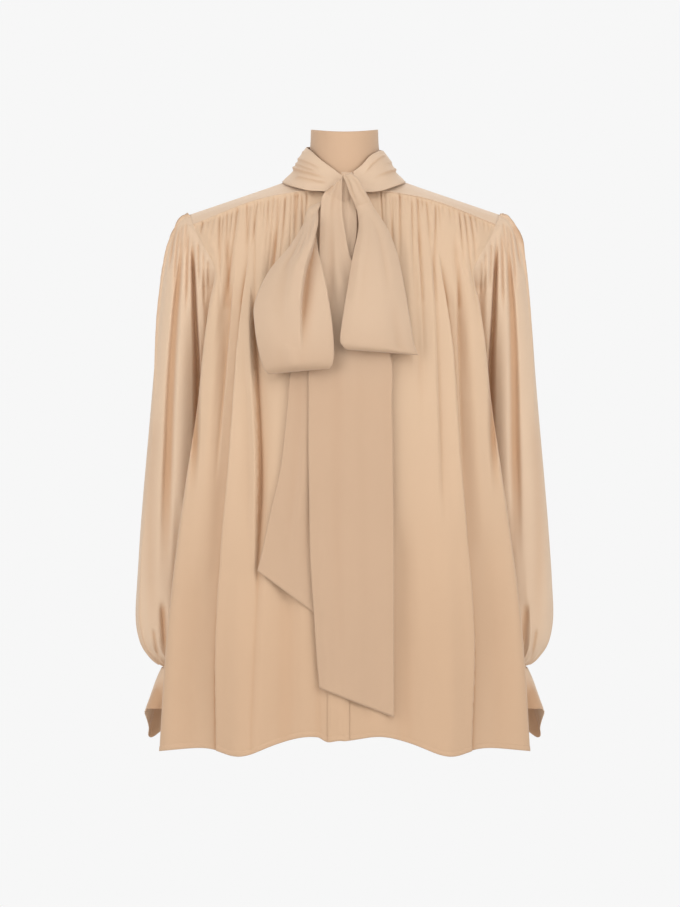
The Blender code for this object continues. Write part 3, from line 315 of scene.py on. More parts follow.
# Tails: the edges seen from the front, and how far each row stands off the body
TailRow = namedtuple("TailRow", "left_x left_z right_x right_z clear")
LONG_TAIL = (
    TailRow(-0.0180, -0.0150, -0.0033, -0.0040, 0.0125),
    TailRow(-0.0290, -0.0270, -0.0033, -0.0250, 0.0110),
    TailRow(-0.0315, -0.0480, -0.0030, -0.0480, 0.0090),
    TailRow(-0.0325, -0.0740, 0.0006, -0.0740, 0.0086),
    TailRow(-0.0335, -0.1140, 0.0090, -0.1140, 0.0078),
    TailRow(-0.0385, -0.1670, 0.0340, -0.1670, 0.0074),
    TailRow(-0.0460, -0.2410, 0.0596, -0.2410, 0.0072),
    TailRow(-0.0467, -0.3000, 0.0610, -0.3000, 0.0072),
    TailRow(-0.0467, -0.3600, 0.0621, -0.3600, 0.0072),
    TailRow(-0.0455, -0.4300, 0.0627, -0.4320, 0.0072),
    TailRow(-0.0441, -0.5000, 0.0632, -0.5080, 0.0072),
    TailRow(-0.0395, -0.5700, 0.0631, -0.5900, 0.0064),
    TailRow(-0.0360, -0.6250, 0.0631, -0.6550, 0.0050),
    TailRow(-0.0325, -0.6640, 0.0631, -0.7020, 0.0044),
)
SHORT_TAIL = (
    TailRow(-0.0040, 0.0040, 0.0085, 0.0030, 0.0125),
    TailRow(0.0005, -0.0300, 0.0115, -0.0330, 0.0090),
    TailRow(0.0020, -0.0480, 0.0155, -0.0480, 0.0070),
    TailRow(-0.0030, -0.0800, 0.0155, -0.0800, 0.0048),
    TailRow(-0.0200, -0.1200, 0.0080, -0.1200, 0.0046),
    TailRow(-0.0573, -0.1700, 0.0040, -0.1700, 0.0046),
    TailRow(-0.0690, -0.2500, 0.0060, -0.2560, 0.0046),
    TailRow(-0.0755, -0.3200, 0.0070, -0.3350, 0.0046),
    TailRow(-0.0830, -0.3850, 0.0040, -0.4150, 0.0046),
    TailRow(-0.0953, -0.4370, -0.0010, -0.4900, 0.0046),
    TailRow(-0.1040, -0.4800, -0.0050, -0.5500, 0.0044),
    TailRow(-0.1119, -0.5150, -0.0100, -0.5900, 0.0042),
)

# How much farther each row of the short tail reaches under the long one
SHORT_TAIL_LAP = (0.0, 0.004, 0.007, 0.007, 0.003, 0, 0, 0, 0, 0, 0, 0)
TAIL_WAVES = 2
LONG_TAIL_WAVE = 0.0010
SHORT_TAIL_WAVE = 0.0003

# Long folds of the fronts, seen from the front.  Each line is given by its distance from
# the middle at equal steps down.  Inner is the side towards the middle: the cloth stands
# out there by rise, drops within step, and comes back within outer.
StepFold = namedtuple("StepFold", "top foot line inner step outer rise sink")
RIGHT_STEPS = (
    StepFold(-0.100, -0.860, (0.124, 0.138, 0.147, 0.157, 0.164, 0.163, 0.163),
             0.016, 0.0028, 0.026, 0.0048, 0.0095),
    StepFold(-0.120, -0.420, (0.142, 0.152, 0.160, 0.168), 0.014, 0.0040, 0.018, 0.0018, 0.0024),
    StepFold(-0.330, -0.860, (0.098, 0.100, 0.106, 0.108), 0.030, 0.0110, 0.030, 0.0016, 0.0018),
    StepFold(-0.062, -0.240, (0.086, 0.092, 0.096), 0.010, 0.0034, 0.014, 0.0014, 0.0020),
)
LEFT_STEPS = (
    StepFold(-0.100, -0.860, (0.122, 0.139, 0.147, 0.157, 0.165, 0.161, 0.161),
             0.016, 0.0028, 0.026, 0.0048, 0.0095),
    StepFold(-0.110, -0.430, (0.146, 0.148, 0.152, 0.156), 0.012, 0.0040, 0.018, 0.0018, 0.0024),
    StepFold(-0.090, -0.480, (0.111, 0.115, 0.119, 0.121), 0.014, 0.0060, 0.018, 0.0020, 0.0020),
    StepFold(-0.060, -0.260, (0.094, 0.098, 0.100), 0.010, 0.0034, 0.014, 0.0014, 0.0020),
)
RIGHT_BACKWARD_STEPS = (
    StepFold(-0.150, -0.560, (0.1225, 0.1190, 0.1140, 0.1140, 0.1150),
             0.008, 0.0028, 0.014, 0.0046, 0.0075),
)

# Softer folds: a ridge where the height is above nought, a hollow where it is below.  Firm
# is the power of the profile: 2 is a soft bell, and more gives a flat bed with firm edges.
SoftFold = namedtuple("SoftFold", "top foot line width height firm", defaults=(2,))
RIGHT_SOFT_FOLDS = (
    SoftFold(-0.070, -0.330, (0.150, 0.158, 0.166), 0.0050, -0.0035),
    SoftFold(-0.090, -0.460, (0.160, 0.172, 0.184), 0.0080, 0.0030),
    SoftFold(-0.120, -0.600, (0.142, 0.160, 0.176), 0.0090, -0.0025),
    SoftFold(-0.060, -0.300, (0.090, 0.094, 0.096), 0.0060, -0.0030),
    SoftFold(-0.050, -0.260, (0.104, 0.108, 0.110), 0.0060, 0.0020),
    SoftFold(-0.420, -0.860, (0.074, 0.077, 0.079), 0.0150, -0.0055),
    SoftFold(-0.450, -0.860, (0.050, 0.050, 0.050), 0.0160, 0.0030),
    SoftFold(-0.400, -0.860, (0.130, 0.134, 0.132), 0.0160, 0.0030),
    SoftFold(-0.500, -0.860, (0.190, 0.200, 0.206), 0.0160, -0.0040),
    SoftFold(-0.300, -0.860, (0.206, 0.222, 0.236), 0.0100, 0.0030),
)
LEFT_SOFT_FOLDS = (
    SoftFold(-0.070, -0.300, (0.144, 0.152, 0.160), 0.0050, -0.0030),
    SoftFold(-0.100, -0.500, (0.158, 0.170, 0.182), 0.0080, 0.0030),
    SoftFold(-0.120, -0.560, (0.140, 0.154, 0.172), 0.0080, -0.0020),
    SoftFold(-0.060, -0.340, (0.094, 0.097, 0.099), 0.0060, -0.0030),
    SoftFold(-0.050, -0.240, (0.082, 0.084, 0.085), 0.0060, 0.0020),
    SoftFold(-0.440, -0.860, (0.074, 0.078, 0.080), 0.0150, -0.0050),
    SoftFold(-0.450, -0.860, (0.048, 0.048, 0.048), 0.0160, 0.0025),
    SoftFold(-0.400, -0.860, (0.128, 0.132, 0.132), 0.0160, 0.0030),
    SoftFold(-0.460, -0.860, (0.188, 0.198, 0.206), 0.0160, -0.0040),
    SoftFold(-0.300, -0.860, (0.208, 0.224, 0.238), 0.0100, 0.0030),
)
BACK_SOFT_FOLDS = (
    SoftFold(-0.130, -0.860, (-0.148, -0.160, -0.176), 0.0110, -0.0065),
    SoftFold(-0.120, -0.640, (-0.116, -0.128, -0.138), 0.0110, 0.0045),
    SoftFold(-0.125, -0.860, (-0.080, -0.084, -0.090), 0.0120, -0.0060),
    SoftFold(-0.115, -0.600, (-0.040, -0.044, -0.052), 0.0130, 0.0040),
    SoftFold(-0.130, -0.860, (0.004, 0.007, 0.010), 0.0130, -0.0055),
    SoftFold(-0.115, -0.660, (0.044, 0.048, 0.056), 0.0120, 0.0045),
    SoftFold(-0.130, -0.860, (0.086, 0.094, 0.104), 0.0120, -0.0060),
    SoftFold(-0.120, -0.560, (0.118, 0.134, 0.150), 0.0110, 0.0040),
    SoftFold(-0.130, -0.860, (0.150, 0.168, 0.184), 0.0120, -0.0060),
    SoftFold(-0.300, -0.860, (-0.210, -0.220, -0.232), 0.0110, 0.0035),
    SoftFold(-0.300, -0.860, (0.206, 0.216, 0.228), 0.0110, 0.0035),
    SoftFold(-0.100, -0.300, (-0.100, -0.104, -0.106), 0.0060, -0.0030),
    SoftFold(-0.100, -0.320, (0.028, 0.028, 0.030), 0.0060, -0.0030),
    SoftFold(-0.100, -0.280, (0.104, 0.108, 0.110), 0.0060, -0.0030),
)

# How a fold fades in and out along its line, as shares of its length
LINE_FADE = (-0.02, 0.16, 0.60, 1.00)

# Gathers: uneven creases that start at a seam.  Each row has the seed of its random draws,
# its first and last place in metres from the middle or in turns round a sleeve, the number
# of gathers, and their depth and width.  The keys are 1 for the left side, -1 for the right.
GatherRow = namedtuple("GatherRow", "seed first last count depth width")
FRONT_GATHER_ROWS = {
    1: GatherRow(11, 0.046, 0.192, 25, 0.0032, 0.0010),
    -1: GatherRow(23, 0.046, 0.192, 25, 0.0032, 0.0010),
}
BACK_GATHER_ROW = GatherRow(37, -0.188, 0.188, 50, 0.0036, 0.0011)
CAP_GATHER_ROWS = {
    1: GatherRow(41, -0.085, 0.065, 9, 0.0040, 0.0012),
    -1: GatherRow(53, -0.085, 0.065, 9, 0.0040, 0.0012),
}
WRIST_GATHER_ROWS = {
    1: GatherRow(61, 0.0, 1.0, 26, 0.0042, 0.0013),
    -1: GatherRow(71, 0.0, 1.0, 26, 0.0042, 0.0013),
}

# Gathers are short, middling or long: their lengths, and the shares at which the next kind
# starts.  The start below the seam, the depth and the width vary by a least part and a range.
GATHER_LENGTHS = ((0.020, 0.050), (0.055, 0.120), (0.140, 0.300))
GATHER_SHARES = (0.42, 0.74)
GATHER_LEAST_STEP = 0.40
GATHER_ONSET = 0.0028
ONSET_RANGE = (0.4, 1.8)
DEPTH_RANGE = (0.5, 0.8)
WIDTH_RANGE = (0.7, 0.8)
GATHER_SPREAD = 1.6
GATHER_FADE_POWER = 1.3
GATHER_LEAN = 0.24
GATHER_FLARE = 0.5

# A crease has a narrow part and a wide one: the narrow one's share, and how wide the other is
CREASE_SHARE = 0.6
HOLLOW_SPREAD = 2.6

# How far round a place its hollow is measured, and the least hollow of a pushed fold, which sets
# the shade painted into its valley
HOLLOW_REACH = 0.0065
VALLEY_SHADE = 0.5

# The crease at the foot of a step fold, as a share of its depth
STEP_GROOVE_SHARE = 0.28
STEP_GROOVE_WIDTH = 0.0019

# How far the cloth puffs out below a seam and between which drops, where it does so across
# a front, and how far it tucks in under the seam
SEAM_PUFF = 0.0012
SEAM_PUFF_DROPS = (0.001, 0.007, 0.012, 0.045)
FRONT_PUFF = (0.038, 0.060, 0.192, 0.206)
UNDER_SEAM = 0.0006
UNDER_SEAM_SECOND = 0.5

# The puff at the top of a sleeve's cap, and how soon a sleeve turns to its front and back
CAP_PUFF = 0.0022
CAP_PUFF_DROPS = (0.002, 0.010, 0.014, 0.050)
CAP_TOP_SCALE = 1.6
CAP_TOP_START = 0.6
SLEEVE_SIDE_TURN = (0.0, 0.30)

# Rows and columns of the fronts and the back, which have half the columns below the gathers
FRONT_COLUMNS = 360
BACK_COLUMNS = 440
SEAM_ROWS = (0.0, 0.0012)
TOP_START = 0.0028
TOP_END = 0.110
TOP_ROWS = 46
LOWER_ROWS = 76
BODY_LENGTH = 0.688

# A hem's depth, where its close rows start and lie above the edge, and its sewn groove
HEM_DEPTH = 0.0065
HEM_START = 0.012
HEM_PATH_ROWS = 12
HEM_ROWS = (0.0105, 0.0085, 0.0072, 0.0065, 0.0058, 0.0040, 0.0018, 0.0)
HEM_STAND = 0.0004
HEM_GROOVE = 0.0004
HEM_GROOVE_WIDTH = 0.0006

# How a panel's plain rows are smoothed down the body, and where they are held as they are
BODY_STEPS = 230
BODY_SMOOTH_REACH = 0.015
BODY_SMOOTH_DROPS = (0.090, 0.140, 0.560, 0.640)
ARMHOLE_END = 0.175
ARMHOLE_FADE = 0.03
EDGE_HOLD = (0.85, 0.98)

# Where folds and gathers fade out towards the side, as shares of the way there
FLANK_CALM = (0.82, 0.92)
GATHER_CALM = (0.78, 0.82)
BACK_EDGE_CALM = (0.93, 1.0)

# The column of a panel at which its corner lies
CORNER_COLUMN = 0.80

# Rows and columns of the plain fronts that the tails hang on
PLAIN_ROWS = 60
PLAIN_COLUMNS = 90

# Where the cloth comes forward beside the armhole: height, the place and depth of the front
# on one side, the place and depth of the sleeve on the other, and how much
ARMHOLE_BRIDGE = (
    (-0.066, 0.1880, -0.0460, 0.2180, -0.0180, 0.0),
    (-0.078, 0.1820, -0.0560, 0.2180, -0.0260, 0.6),
    (-0.090, 0.1750, -0.0668, 0.2163, -0.0338, 1.0),
    (-0.110, 0.1650, -0.0748, 0.2080, -0.0450, 1.0),
    (-0.122, 0.1600, -0.0805, 0.2030, -0.0490, 0.8),
    (-0.146, 0.1560, -0.0930, 0.1950, -0.0530, 0.0),
)
BRIDGE_STRAIGHT = 0.6

# Folds at the shoulder that run over both the front and the sleeve, by their distance from
# the middle seen from the front.  The keys are 1 for the left side, -1 for the right.
SHOULDER_FOLDS = {
    -1: (
        SoftFold(-0.078, -0.430, (0.2010, 0.1975, 0.1945, 0.1940, 0.1990),
                 (0.0022, 0.0032, 0.0040, 0.0044), -0.0115, 3),
        SoftFold(-0.100, -0.240, (0.1870, 0.1860, 0.1840), 0.0050, 0.0030),
    ),
    1: (
        SoftFold(-0.078, -0.430, (0.2010, 0.1970, 0.1935, 0.1930, 0.1980),
                 (0.0022, 0.0032, 0.0040, 0.0044), -0.0115, 3),
        SoftFold(-0.100, -0.240, (0.1870, 0.1860, 0.1840), 0.0050, 0.0030),
    ),
}

# Folds of the sleeves, seen from the front and from behind
SLEEVE_FRONT_FOLDS = {
    -1: (
        SoftFold(-0.066, -0.560, (0.2130, 0.2215, 0.2280, 0.2320, 0.2350, 0.2370),
                 (0.0018, 0.0050, 0.0062, 0.0066, 0.0060), -0.0075, 3),
        SoftFold(-0.060, -0.160, (0.2200, 0.2260), 0.0020, -0.0040),
        SoftFold(-0.058, -0.120, (0.2245, 0.2310), 0.0019, -0.0032),
        SoftFold(-0.066, -0.190, (0.2065, 0.2085), 0.0019, -0.0040),
        SoftFold(-0.057, -0.110, (0.2100, 0.2110), 0.0018, -0.0030),
        SoftFold(-0.070, -0.130, (0.2275, 0.2330), 0.0019, -0.0030),
        SoftFold(-0.060, -0.105, (0.2160, 0.2185), 0.0018, -0.0028),
        SoftFold(-0.083, -0.150, (0.1925, 0.1910), 0.0018, -0.0032),
        SoftFold(-0.096, -0.180, (0.1855, 0.1840), 0.0018, -0.0034),
        SoftFold(-0.110, -0.150, (0.1790, 0.1780), 0.0018, -0.0028),
        SoftFold(-0.140, -0.560, (0.2100, 0.2140, 0.2170, 0.2190), 0.0110, 0.0030),
        SoftFold(-0.300, -0.640, (0.2500, 0.2560, 0.2560, 0.2500), 0.0080, -0.0024),
        SoftFold(-0.420, -0.640, (0.2180, 0.2200, 0.2200), 0.0070, -0.0030),
        SoftFold(-0.560, -0.640, (0.2400, 0.2370, 0.2330), 0.0040, -0.0060),
        SoftFold(-0.595, -0.645, (0.2520, 0.2440), 0.0024, -0.0032),
    ),
    1: (
        SoftFold(-0.066, -0.540, (0.2140, 0.2200, 0.2230, 0.2240, 0.2260, 0.2280),
                 (0.0018, 0.0050, 0.0062, 0.0066, 0.0060), -0.0075, 3),
        SoftFold(-0.060, -0.160, (0.2205, 0.2270), 0.0020, -0.0040),
        SoftFold(-0.058, -0.120, (0.2255, 0.2320), 0.0019, -0.0032),
        SoftFold(-0.068, -0.190, (0.2075, 0.2085), 0.0019, -0.0040),
        SoftFold(-0.057, -0.108, (0.2110, 0.2125), 0.0018, -0.0030),
        SoftFold(-0.072, -0.128, (0.2285, 0.2340), 0.0019, -0.0030),
        SoftFold(-0.060, -0.103, (0.2165, 0.2190), 0.0018, -0.0028),
        SoftFold(-0.083, -0.160, (0.1930, 0.1910), 0.0018, -0.0032),
        SoftFold(-0.097, -0.160, (0.1850, 0.1835), 0.0018, -0.0034),
        SoftFold(-0.109, -0.165, (0.1795, 0.1785), 0.0018, -0.0028),
        SoftFold(-0.140, -0.560, (0.2080, 0.2100, 0.2110, 0.2120), 0.0110, 0.0030),
        SoftFold(-0.300, -0.640, (0.2500, 0.2560, 0.2560, 0.2500), 0.0080, -0.0024),
        SoftFold(-0.420, -0.640, (0.2140, 0.2160, 0.2180), 0.0070, -0.0030),
        SoftFold(-0.560, -0.640, (0.2390, 0.2360, 0.2320), 0.0040, -0.0060),
        SoftFold(-0.595, -0.645, (0.2530, 0.2450), 0.0024, -0.0032),
    ),
}
SLEEVE_BACK_FOLDS = {
    -1: (
        SoftFold(-0.080, -0.560, (0.2090, 0.2180, 0.2250, 0.2300),
                 (0.0020, 0.0050, 0.0060, 0.0060), -0.0080, 3),
        SoftFold(-0.065, -0.180, (0.2200, 0.2290), 0.0020, -0.0038),
        SoftFold(-0.060, -0.130, (0.2140, 0.2170), 0.0018, -0.0034),
        SoftFold(-0.120, -0.600, (0.2400, 0.2470, 0.2500, 0.2480), 0.0080, 0.0035),
        SoftFold(-0.140, -0.600, (0.2000, 0.2020, 0.2060, 0.2080), 0.0060, -0.0050),
        SoftFold(-0.100, -0.300, (0.1880, 0.1860, 0.1860), 0.0040, -0.0040),
        SoftFold(-0.380, -0.640, (0.2500, 0.2520, 0.2440), 0.0070, -0.0035),
    ),
    1: (
        SoftFold(-0.080, -0.560, (0.2100, 0.2170, 0.2230, 0.2280),
                 (0.0020, 0.0050, 0.0060, 0.0060), -0.0080, 3),
        SoftFold(-0.065, -0.180, (0.2210, 0.2300), 0.0020, -0.0038),
        SoftFold(-0.060, -0.128, (0.2150, 0.2175), 0.0018, -0.0034),
        SoftFold(-0.120, -0.600, (0.2390, 0.2460, 0.2490, 0.2470), 0.0080, 0.0035),
        SoftFold(-0.140, -0.600, (0.1980, 0.2010, 0.2040, 0.2060), 0.0060, -0.0050),
        SoftFold(-0.100, -0.300, (0.1870, 0.1850, 0.1850), 0.0040, -0.0040),
        SoftFold(-0.380, -0.640, (0.2500, 0.2520, 0.2440), 0.0070, -0.0035),
    ),
}

# Creases of the scarf: angles from the front, shares of the way up there, width and height
WrapCrease = namedtuple("WrapCrease", "angles shares width height")
RIGHT_WRAP_CREASES = (
    WrapCrease((150, 95, 55, 20), (0.30, 0.32, 0.36, 0.50), 0.0018, -0.0022),
    WrapCrease((120, 85, 60, 30), (0.60, 0.62, 0.66, 0.72), 0.0016, -0.0014),
    WrapCrease((170, 130, 100, 70), (0.80, 0.80, 0.83, 0.86), 0.0016, -0.0010),
    WrapCrease((70, 50, 34, 22), (0.14, 0.18, 0.24, 0.34), 0.0016, -0.0018),
    WrapCrease((100, 74, 52, 36), (0.46, 0.47, 0.50, 0.56), 0.0012, -0.0018),
)
LEFT_WRAP_CREASES = (
    WrapCrease((170, 120, 80, 36), (0.30, 0.30, 0.30, 0.34), 0.0018, -0.0020),
    WrapCrease((78, 58, 40, 26), (0.84, 0.80, 0.74, 0.66), 0.0015, -0.0018),
    WrapCrease((150, 120, 90, 60), (0.62, 0.60, 0.58, 0.56), 0.0018, -0.0010),
)

# How far the scarf rolls out at shares of the way up, and how far its lower edge sags, near
# that edge and away from the knot
WRAP_PROFILE = (
    (0.00, 1.70), (0.08, 1.22), (0.18, 0.86), (0.34, 0.80),
    (0.52, 0.62), (0.66, 0.56), (0.84, 0.30), (1.00, 0.05),
)
WRAP_EDGE_DROP = 0.0032
WRAP_EDGE_SHARES = (0.0, 0.2)
WRAP_EDGE_ANGLES = (15, 45)
WRAP_CREASE_FADE = (-0.02, 0.2, 0.8, 1.02)
WRAP_COLUMNS = 170
WRAP_ROWS = 36

# Folds of the bow's ribbons: the first and last row of each, and its place across as a
# share of the ribbon's width at equal steps between them
RibbonFold = namedtuple("RibbonFold", "first last line width height")
RIGHT_LOOP_FOLDS = (
    RibbonFold(0.6, 6.5, (0.60, 0.56, 0.50, 0.48, 0.46), 0.0100, 0.0030),
    RibbonFold(1.0, 4.0, (0.36, 0.42, 0.44, 0.46), 0.0040, -0.0026),
    RibbonFold(1.2, 4.4, (0.14, 0.18, 0.24, 0.30), 0.0050, -0.0022),
    RibbonFold(1.0, 3.4, (0.62, 0.60, 0.58, 0.56), 0.0026, -0.0024),
    RibbonFold(6.8, 8.6, (0.42, 0.42, 0.42), 0.0100, 0.0015),
)
LEFT_LOOP_FOLDS = (
    RibbonFold(1.0, 5.0, (0.25, 0.20, 0.16, 0.14), 0.0060, 0.0020),
    RibbonFold(1.4, 4.4, (0.62, 0.66, 0.70, 0.72), 0.0060, -0.0016),
    RibbonFold(4.2, 7.4, (0.78, 0.80, 0.82), 0.0100, -0.0018),
)

# The loop at -X has two lobes: the outer one lies over the inner one
RibbonStep = namedtuple("RibbonStep", "first last line inner step outer rise sink")
RIBBON_STEP_FADE = (0.00, 0.18, 0.50, 1.00)
RIGHT_LOOP_STEPS = (
    RibbonStep(0.9, 7.4, (1.02, 0.86, 0.73, 0.66, 0.62, 0.58, 0.56),
               0.016, 0.0035, 0.020, 0.0050, 0.0095),
)
LONG_TAIL_FOLDS = (
    RibbonFold(0.6, 6.0, (0.62, 0.56, 0.44, 0.30, 0.22), 0.0060, -0.0022),
    RibbonFold(0.6, 5.0, (0.30, 0.30, 0.24, 0.18, 0.14), 0.0050, 0.0020),
    RibbonFold(5.5, 12.5, (0.76, 0.78, 0.80, 0.80), 0.0130, 0.0012),
    RibbonFold(5.5, 12.0, (0.34, 0.33, 0.32, 0.32), 0.0120, -0.0012),
)
SHORT_TAIL_FOLDS = (
    RibbonFold(5.0, 10.5, (0.30, 0.32, 0.36, 0.40), 0.0070, 0.0018),
    RibbonFold(5.0, 10.0, (0.55, 0.52, 0.52, 0.55), 0.0060, -0.0018),
)
KNOT_FOLDS = (
    RibbonFold(0.6, 4.6, (0.22, 0.20, 0.18, 0.16), 0.0022, -0.0012),
    RibbonFold(1.0, 5.0, (0.70, 0.74, 0.78, 0.80), 0.0026, -0.0010),
)
LOOP_ROWS = 130
LOOP_COLUMNS = 80
TAIL_ROWS = 150
TAIL_COLUMNS = 54

# The power of a ribbon's arch, and the share of its flat width by length that is cloth
RIBBON_FLATNESS = 2.4

# Stitches: small spindles with four sides, whose widest rings lie at shares of their length
STITCH_LENGTH = 0.0021
STITCH_PITCH = 0.0029
STITCH_RADIUS = 0.00017
STITCH_LIFT = 0.00008
STITCH_SIDES = 4
STITCH_SHOULDERS = (-0.3, 0.3)
THREAD_DARK_SHARE = 0.82

# Between which heights shade is painted onto the cloth of a slot, darker lower down
LOWER_SHADE_HEIGHTS = {"body": (-0.20, -0.66), "bow": (-0.18, -0.30)}

# Thickness of the cloth, how far a piece reaches up under the seam above it, and how wide
# each piece's threads run
CLOTH_WALL = 0.0008
SEAM_LAP = 0.0015
THREAD_WIDTHS = {
    "front": 0.42, "placket": 0.030, "back": 0.72, "yoke": 0.60, "sleeve": 0.42, "band": 0.20,
    "flare": 0.30, "collar": 0.36, "scarf": 0.22,
}

# Where a Mix node keeps its colour sockets
MIX_FIRST_COLOUR = 6
MIX_SECOND_COLOUR = 7
MIX_COLOUR_OUT = 2

# Lights of the stage: place, size, and the setting that holds the power
StageLight = namedtuple("StageLight", "name place size power")
LIGHTS = (
    StageLight("top_light", (0.0, -2.6, 2.4), 3.2, "top_light"),
    StageLight("left_light", (-2.9, -2.6, 0.3), 2.4, "side_light"),
    StageLight("right_light", (2.9, -2.6, 0.3), 2.4, "side_light"),
    StageLight("back_light", (0.0, 2.8, 2.2), 2.6, "back_light"),
)
LIGHT_TARGET = (0.0, 0.0, -0.35)
CAMERA_X = -0.006
SENSOR_WIDTH = 36.0
FLOOR_SIZE = 16.0


def smooth_rows(knots, rows, at):
    """A smooth curve through rows of numbers, read at one or more places."""
    knots = np.asarray(knots, dtype=float)
    rows = np.asarray(rows, dtype=float)
    at = np.atleast_1d(np.asarray(at, dtype=float))
    slopes = np.gradient(rows, knots, axis=0)
    low = np.clip(np.searchsorted(knots, at, side="right") - 1, 0, len(knots) - 2)
    shape = (len(at),) + (1,) * (rows.ndim - 1)
    span = (knots[low + 1] - knots[low]).reshape(shape)
    part = (at - knots[low]).reshape(shape) / span
    first = (1 + 2 * part) * (1 - part) ** 2 * rows[low]
    second = part ** 2 * (3 - 2 * part) * rows[low + 1]
    turn_in = part * (1 - part) ** 2 * span * slopes[low]
    turn_out = part ** 2 * (part - 1) * span * slopes[low + 1]
    return first + second + turn_in + turn_out


def lengths_along(points):
    """Distance from the first point to each point of a path."""
    steps = np.linalg.norm(np.diff(points, axis=0), axis=1)
    return np.concatenate(([0.0], np.cumsum(steps)))


def smooth_path(points, count=FINE):
    """A dense smooth path through a few points."""
    points = np.asarray(points, dtype=float)
    knots = lengths_along(points)
    return smooth_rows(knots, points, np.linspace(0.0, knots[-1], count))


def spaced(path, fractions):
    """Points at the given fractions of a dense path's length."""
    length = lengths_along(path)
    at = np.asarray(fractions) * length[-1]
    return np.stack([np.interp(at, length, path[:, axis]) for axis in range(3)], axis=1)


def eased(low, high, value):
    """A soft step from 0 at low to 1 at high."""
    part = np.clip((np.asarray(value) - low) / (high - low), 0.0, 1.0)
    return part * part * (3 - 2 * part)


def between(levels, value):
    """A soft rise from the first level to the second, and a fall from the third to the last."""
    return eased(levels[0], levels[1], value) * (1 - eased(levels[2], levels[3], value))


def outward(grid, ring=False):
    """Unit directions out of a grid whose columns run to the left when seen from outside."""
    if ring:
        wrapped = np.concatenate((grid[:, -1:], grid, grid[:, :1]), axis=1)
        across = np.gradient(wrapped, axis=1)[:, 1:-1]
    else:
        across = np.gradient(grid, axis=1)
    down = np.gradient(grid, axis=0)
    normal = np.cross(down, across)
    size = np.linalg.norm(normal, axis=2, keepdims=True)
    return normal / np.maximum(size, 1e-9)


def neck_point(angle):
    """A point of the neck seam, by its angle from the front, on the +X side."""
    turn = np.radians(angle)
    x = NECK_HALF_WIDTH * np.sin(turn)
    y = NECK_MIDDLE_Y - NECK_HALF_DEPTH * np.cos(turn)
    z = smooth_rows(NECK_ANGLES, NECK_HEIGHTS, angle)[0]
    return np.array((x, y, z))


def yoke_ribs(places):
    """Neck, middle and outer points of the yoke's ribs, at places from 0 to the last rib."""
    rows = [(neck_point(rib.neck_angle), rib.middle, rib.outer) for rib in YOKE]
    return smooth_rows(range(len(YOKE)), rows, places)


def yoke_rib_path(place):
    """The yoke's surface along one rib, from the neck to the outer edge."""
    return smooth_path(yoke_ribs(place)[0])


def back_seam_path():
    """The lower seam of the back yoke, from the middle to the armhole."""
    places = np.linspace(len(YOKE) - 1, ARMHOLE_END_RIB, FINE)
    return yoke_ribs(places)[:, 2]


def front_seam_path():
    """The top edge of a front: half the neck line, then the yoke seam."""
    neck = [neck_point(angle) for angle in np.linspace(0, NECK_FRONT_SEAM, NECK_POINTS)]
    return np.concatenate((neck[:-1], yoke_rib_path(0)))


def even(count):
    """Fractions from 0 to 1 with the given number of steps."""
    return np.linspace(0.0, 1.0, count + 1)


def even_ring(count):
    """Fractions round a ring, without the last one, which is the first again."""
    return np.arange(count) / count


def run_places(runs):
    """Places in runs of even steps, each of which starts where the last one ended."""
    places = [np.linspace(*run) for run in runs]
    return np.concatenate([places[0]] + [run[1:] for run in places[1:]])


def soft_weights(reach):
    """Weights of a soft mean over three times the reach on either side."""
    steps = np.arange(-3 * reach, 3 * reach + 1)
    weights = np.exp(-(steps / reach) ** 2)
    return weights / weights.sum()


def bell(away, width):
    """A soft bump of height 1, by the distance from its middle."""
    return np.exp(-(away / width) ** 2)


def body_row_path(row):
    """A row of a body panel below the seam, from the middle round to its edge."""
    middle = np.array((0.0, row.middle[0], row.middle[1]))
    corner = np.array(row.corner)
    edge = np.array(row.edge)
    points = [middle]
    for share in ROUNDING_SHARES:
        point = middle + (corner - middle) * share ** ROUNDING
        point[0] = corner[0] * share
        points.append(point)
    points.append(corner)
    if abs(edge[1] - corner[1]) > FLANK_LEAST:
        points.append(corner + (edge - corner) * np.array(FLANK_TURN))
    points.append(edge)
    return smooth_path(points)


def split_at(path, corner):
    """A path with its corner always at the same place among its points."""
    turn = int(np.argmin(np.linalg.norm(path - corner, axis=1)))
    before = spaced(path[:turn + 1], np.linspace(0, 1, FINE - FLANK_POINTS))
    after = spaced(path[turn:], np.linspace(0, 1, FLANK_POINTS + 1))
    return np.concatenate((before, after[1:]))


def body_rows(table, seam_path):
    """The rows of a body panel as paths with equal numbers of points."""
    seam_corner = spaced(seam_path, (SEAM_CORNER,))[0]
    rows = [split_at(seam_path, seam_corner)]
    for row in table[1:]:
        rows.append(split_at(body_row_path(row), np.array(row.corner)))
    return np.array(rows)


def armhole_path():
    """The armhole seam as a closed path: shoulder, front, underarm, back."""
    shoulder = yoke_ribs(np.linspace(SHOULDER_TOP_RIB, 0, FLANK_POINTS))[:, 2]
    front = [row.edge for row in FRONT[1:ARMHOLE_ROWS]]
    back = [row.edge for row in BACK[1:ARMHOLE_ROWS]][::-1]
    front_path = smooth_path([shoulder[-1]] + front)
    back_path = smooth_path(back + [YOKE[ARMHOLE_END_RIB].outer])
    shoulder_back = yoke_ribs(np.linspace(ARMHOLE_END_RIB, SHOULDER_TOP_RIB, FLANK_POINTS))[:, 2]
    return np.concatenate((shoulder, front_path[1:], back_path[1:], shoulder_back[1:-1]))


def crowded(fractions, amount):
    """Moves places on a ring towards its start, where the cap is gathered."""
    return fractions - amount * np.sin(2 * np.pi * fractions) / (2 * np.pi)


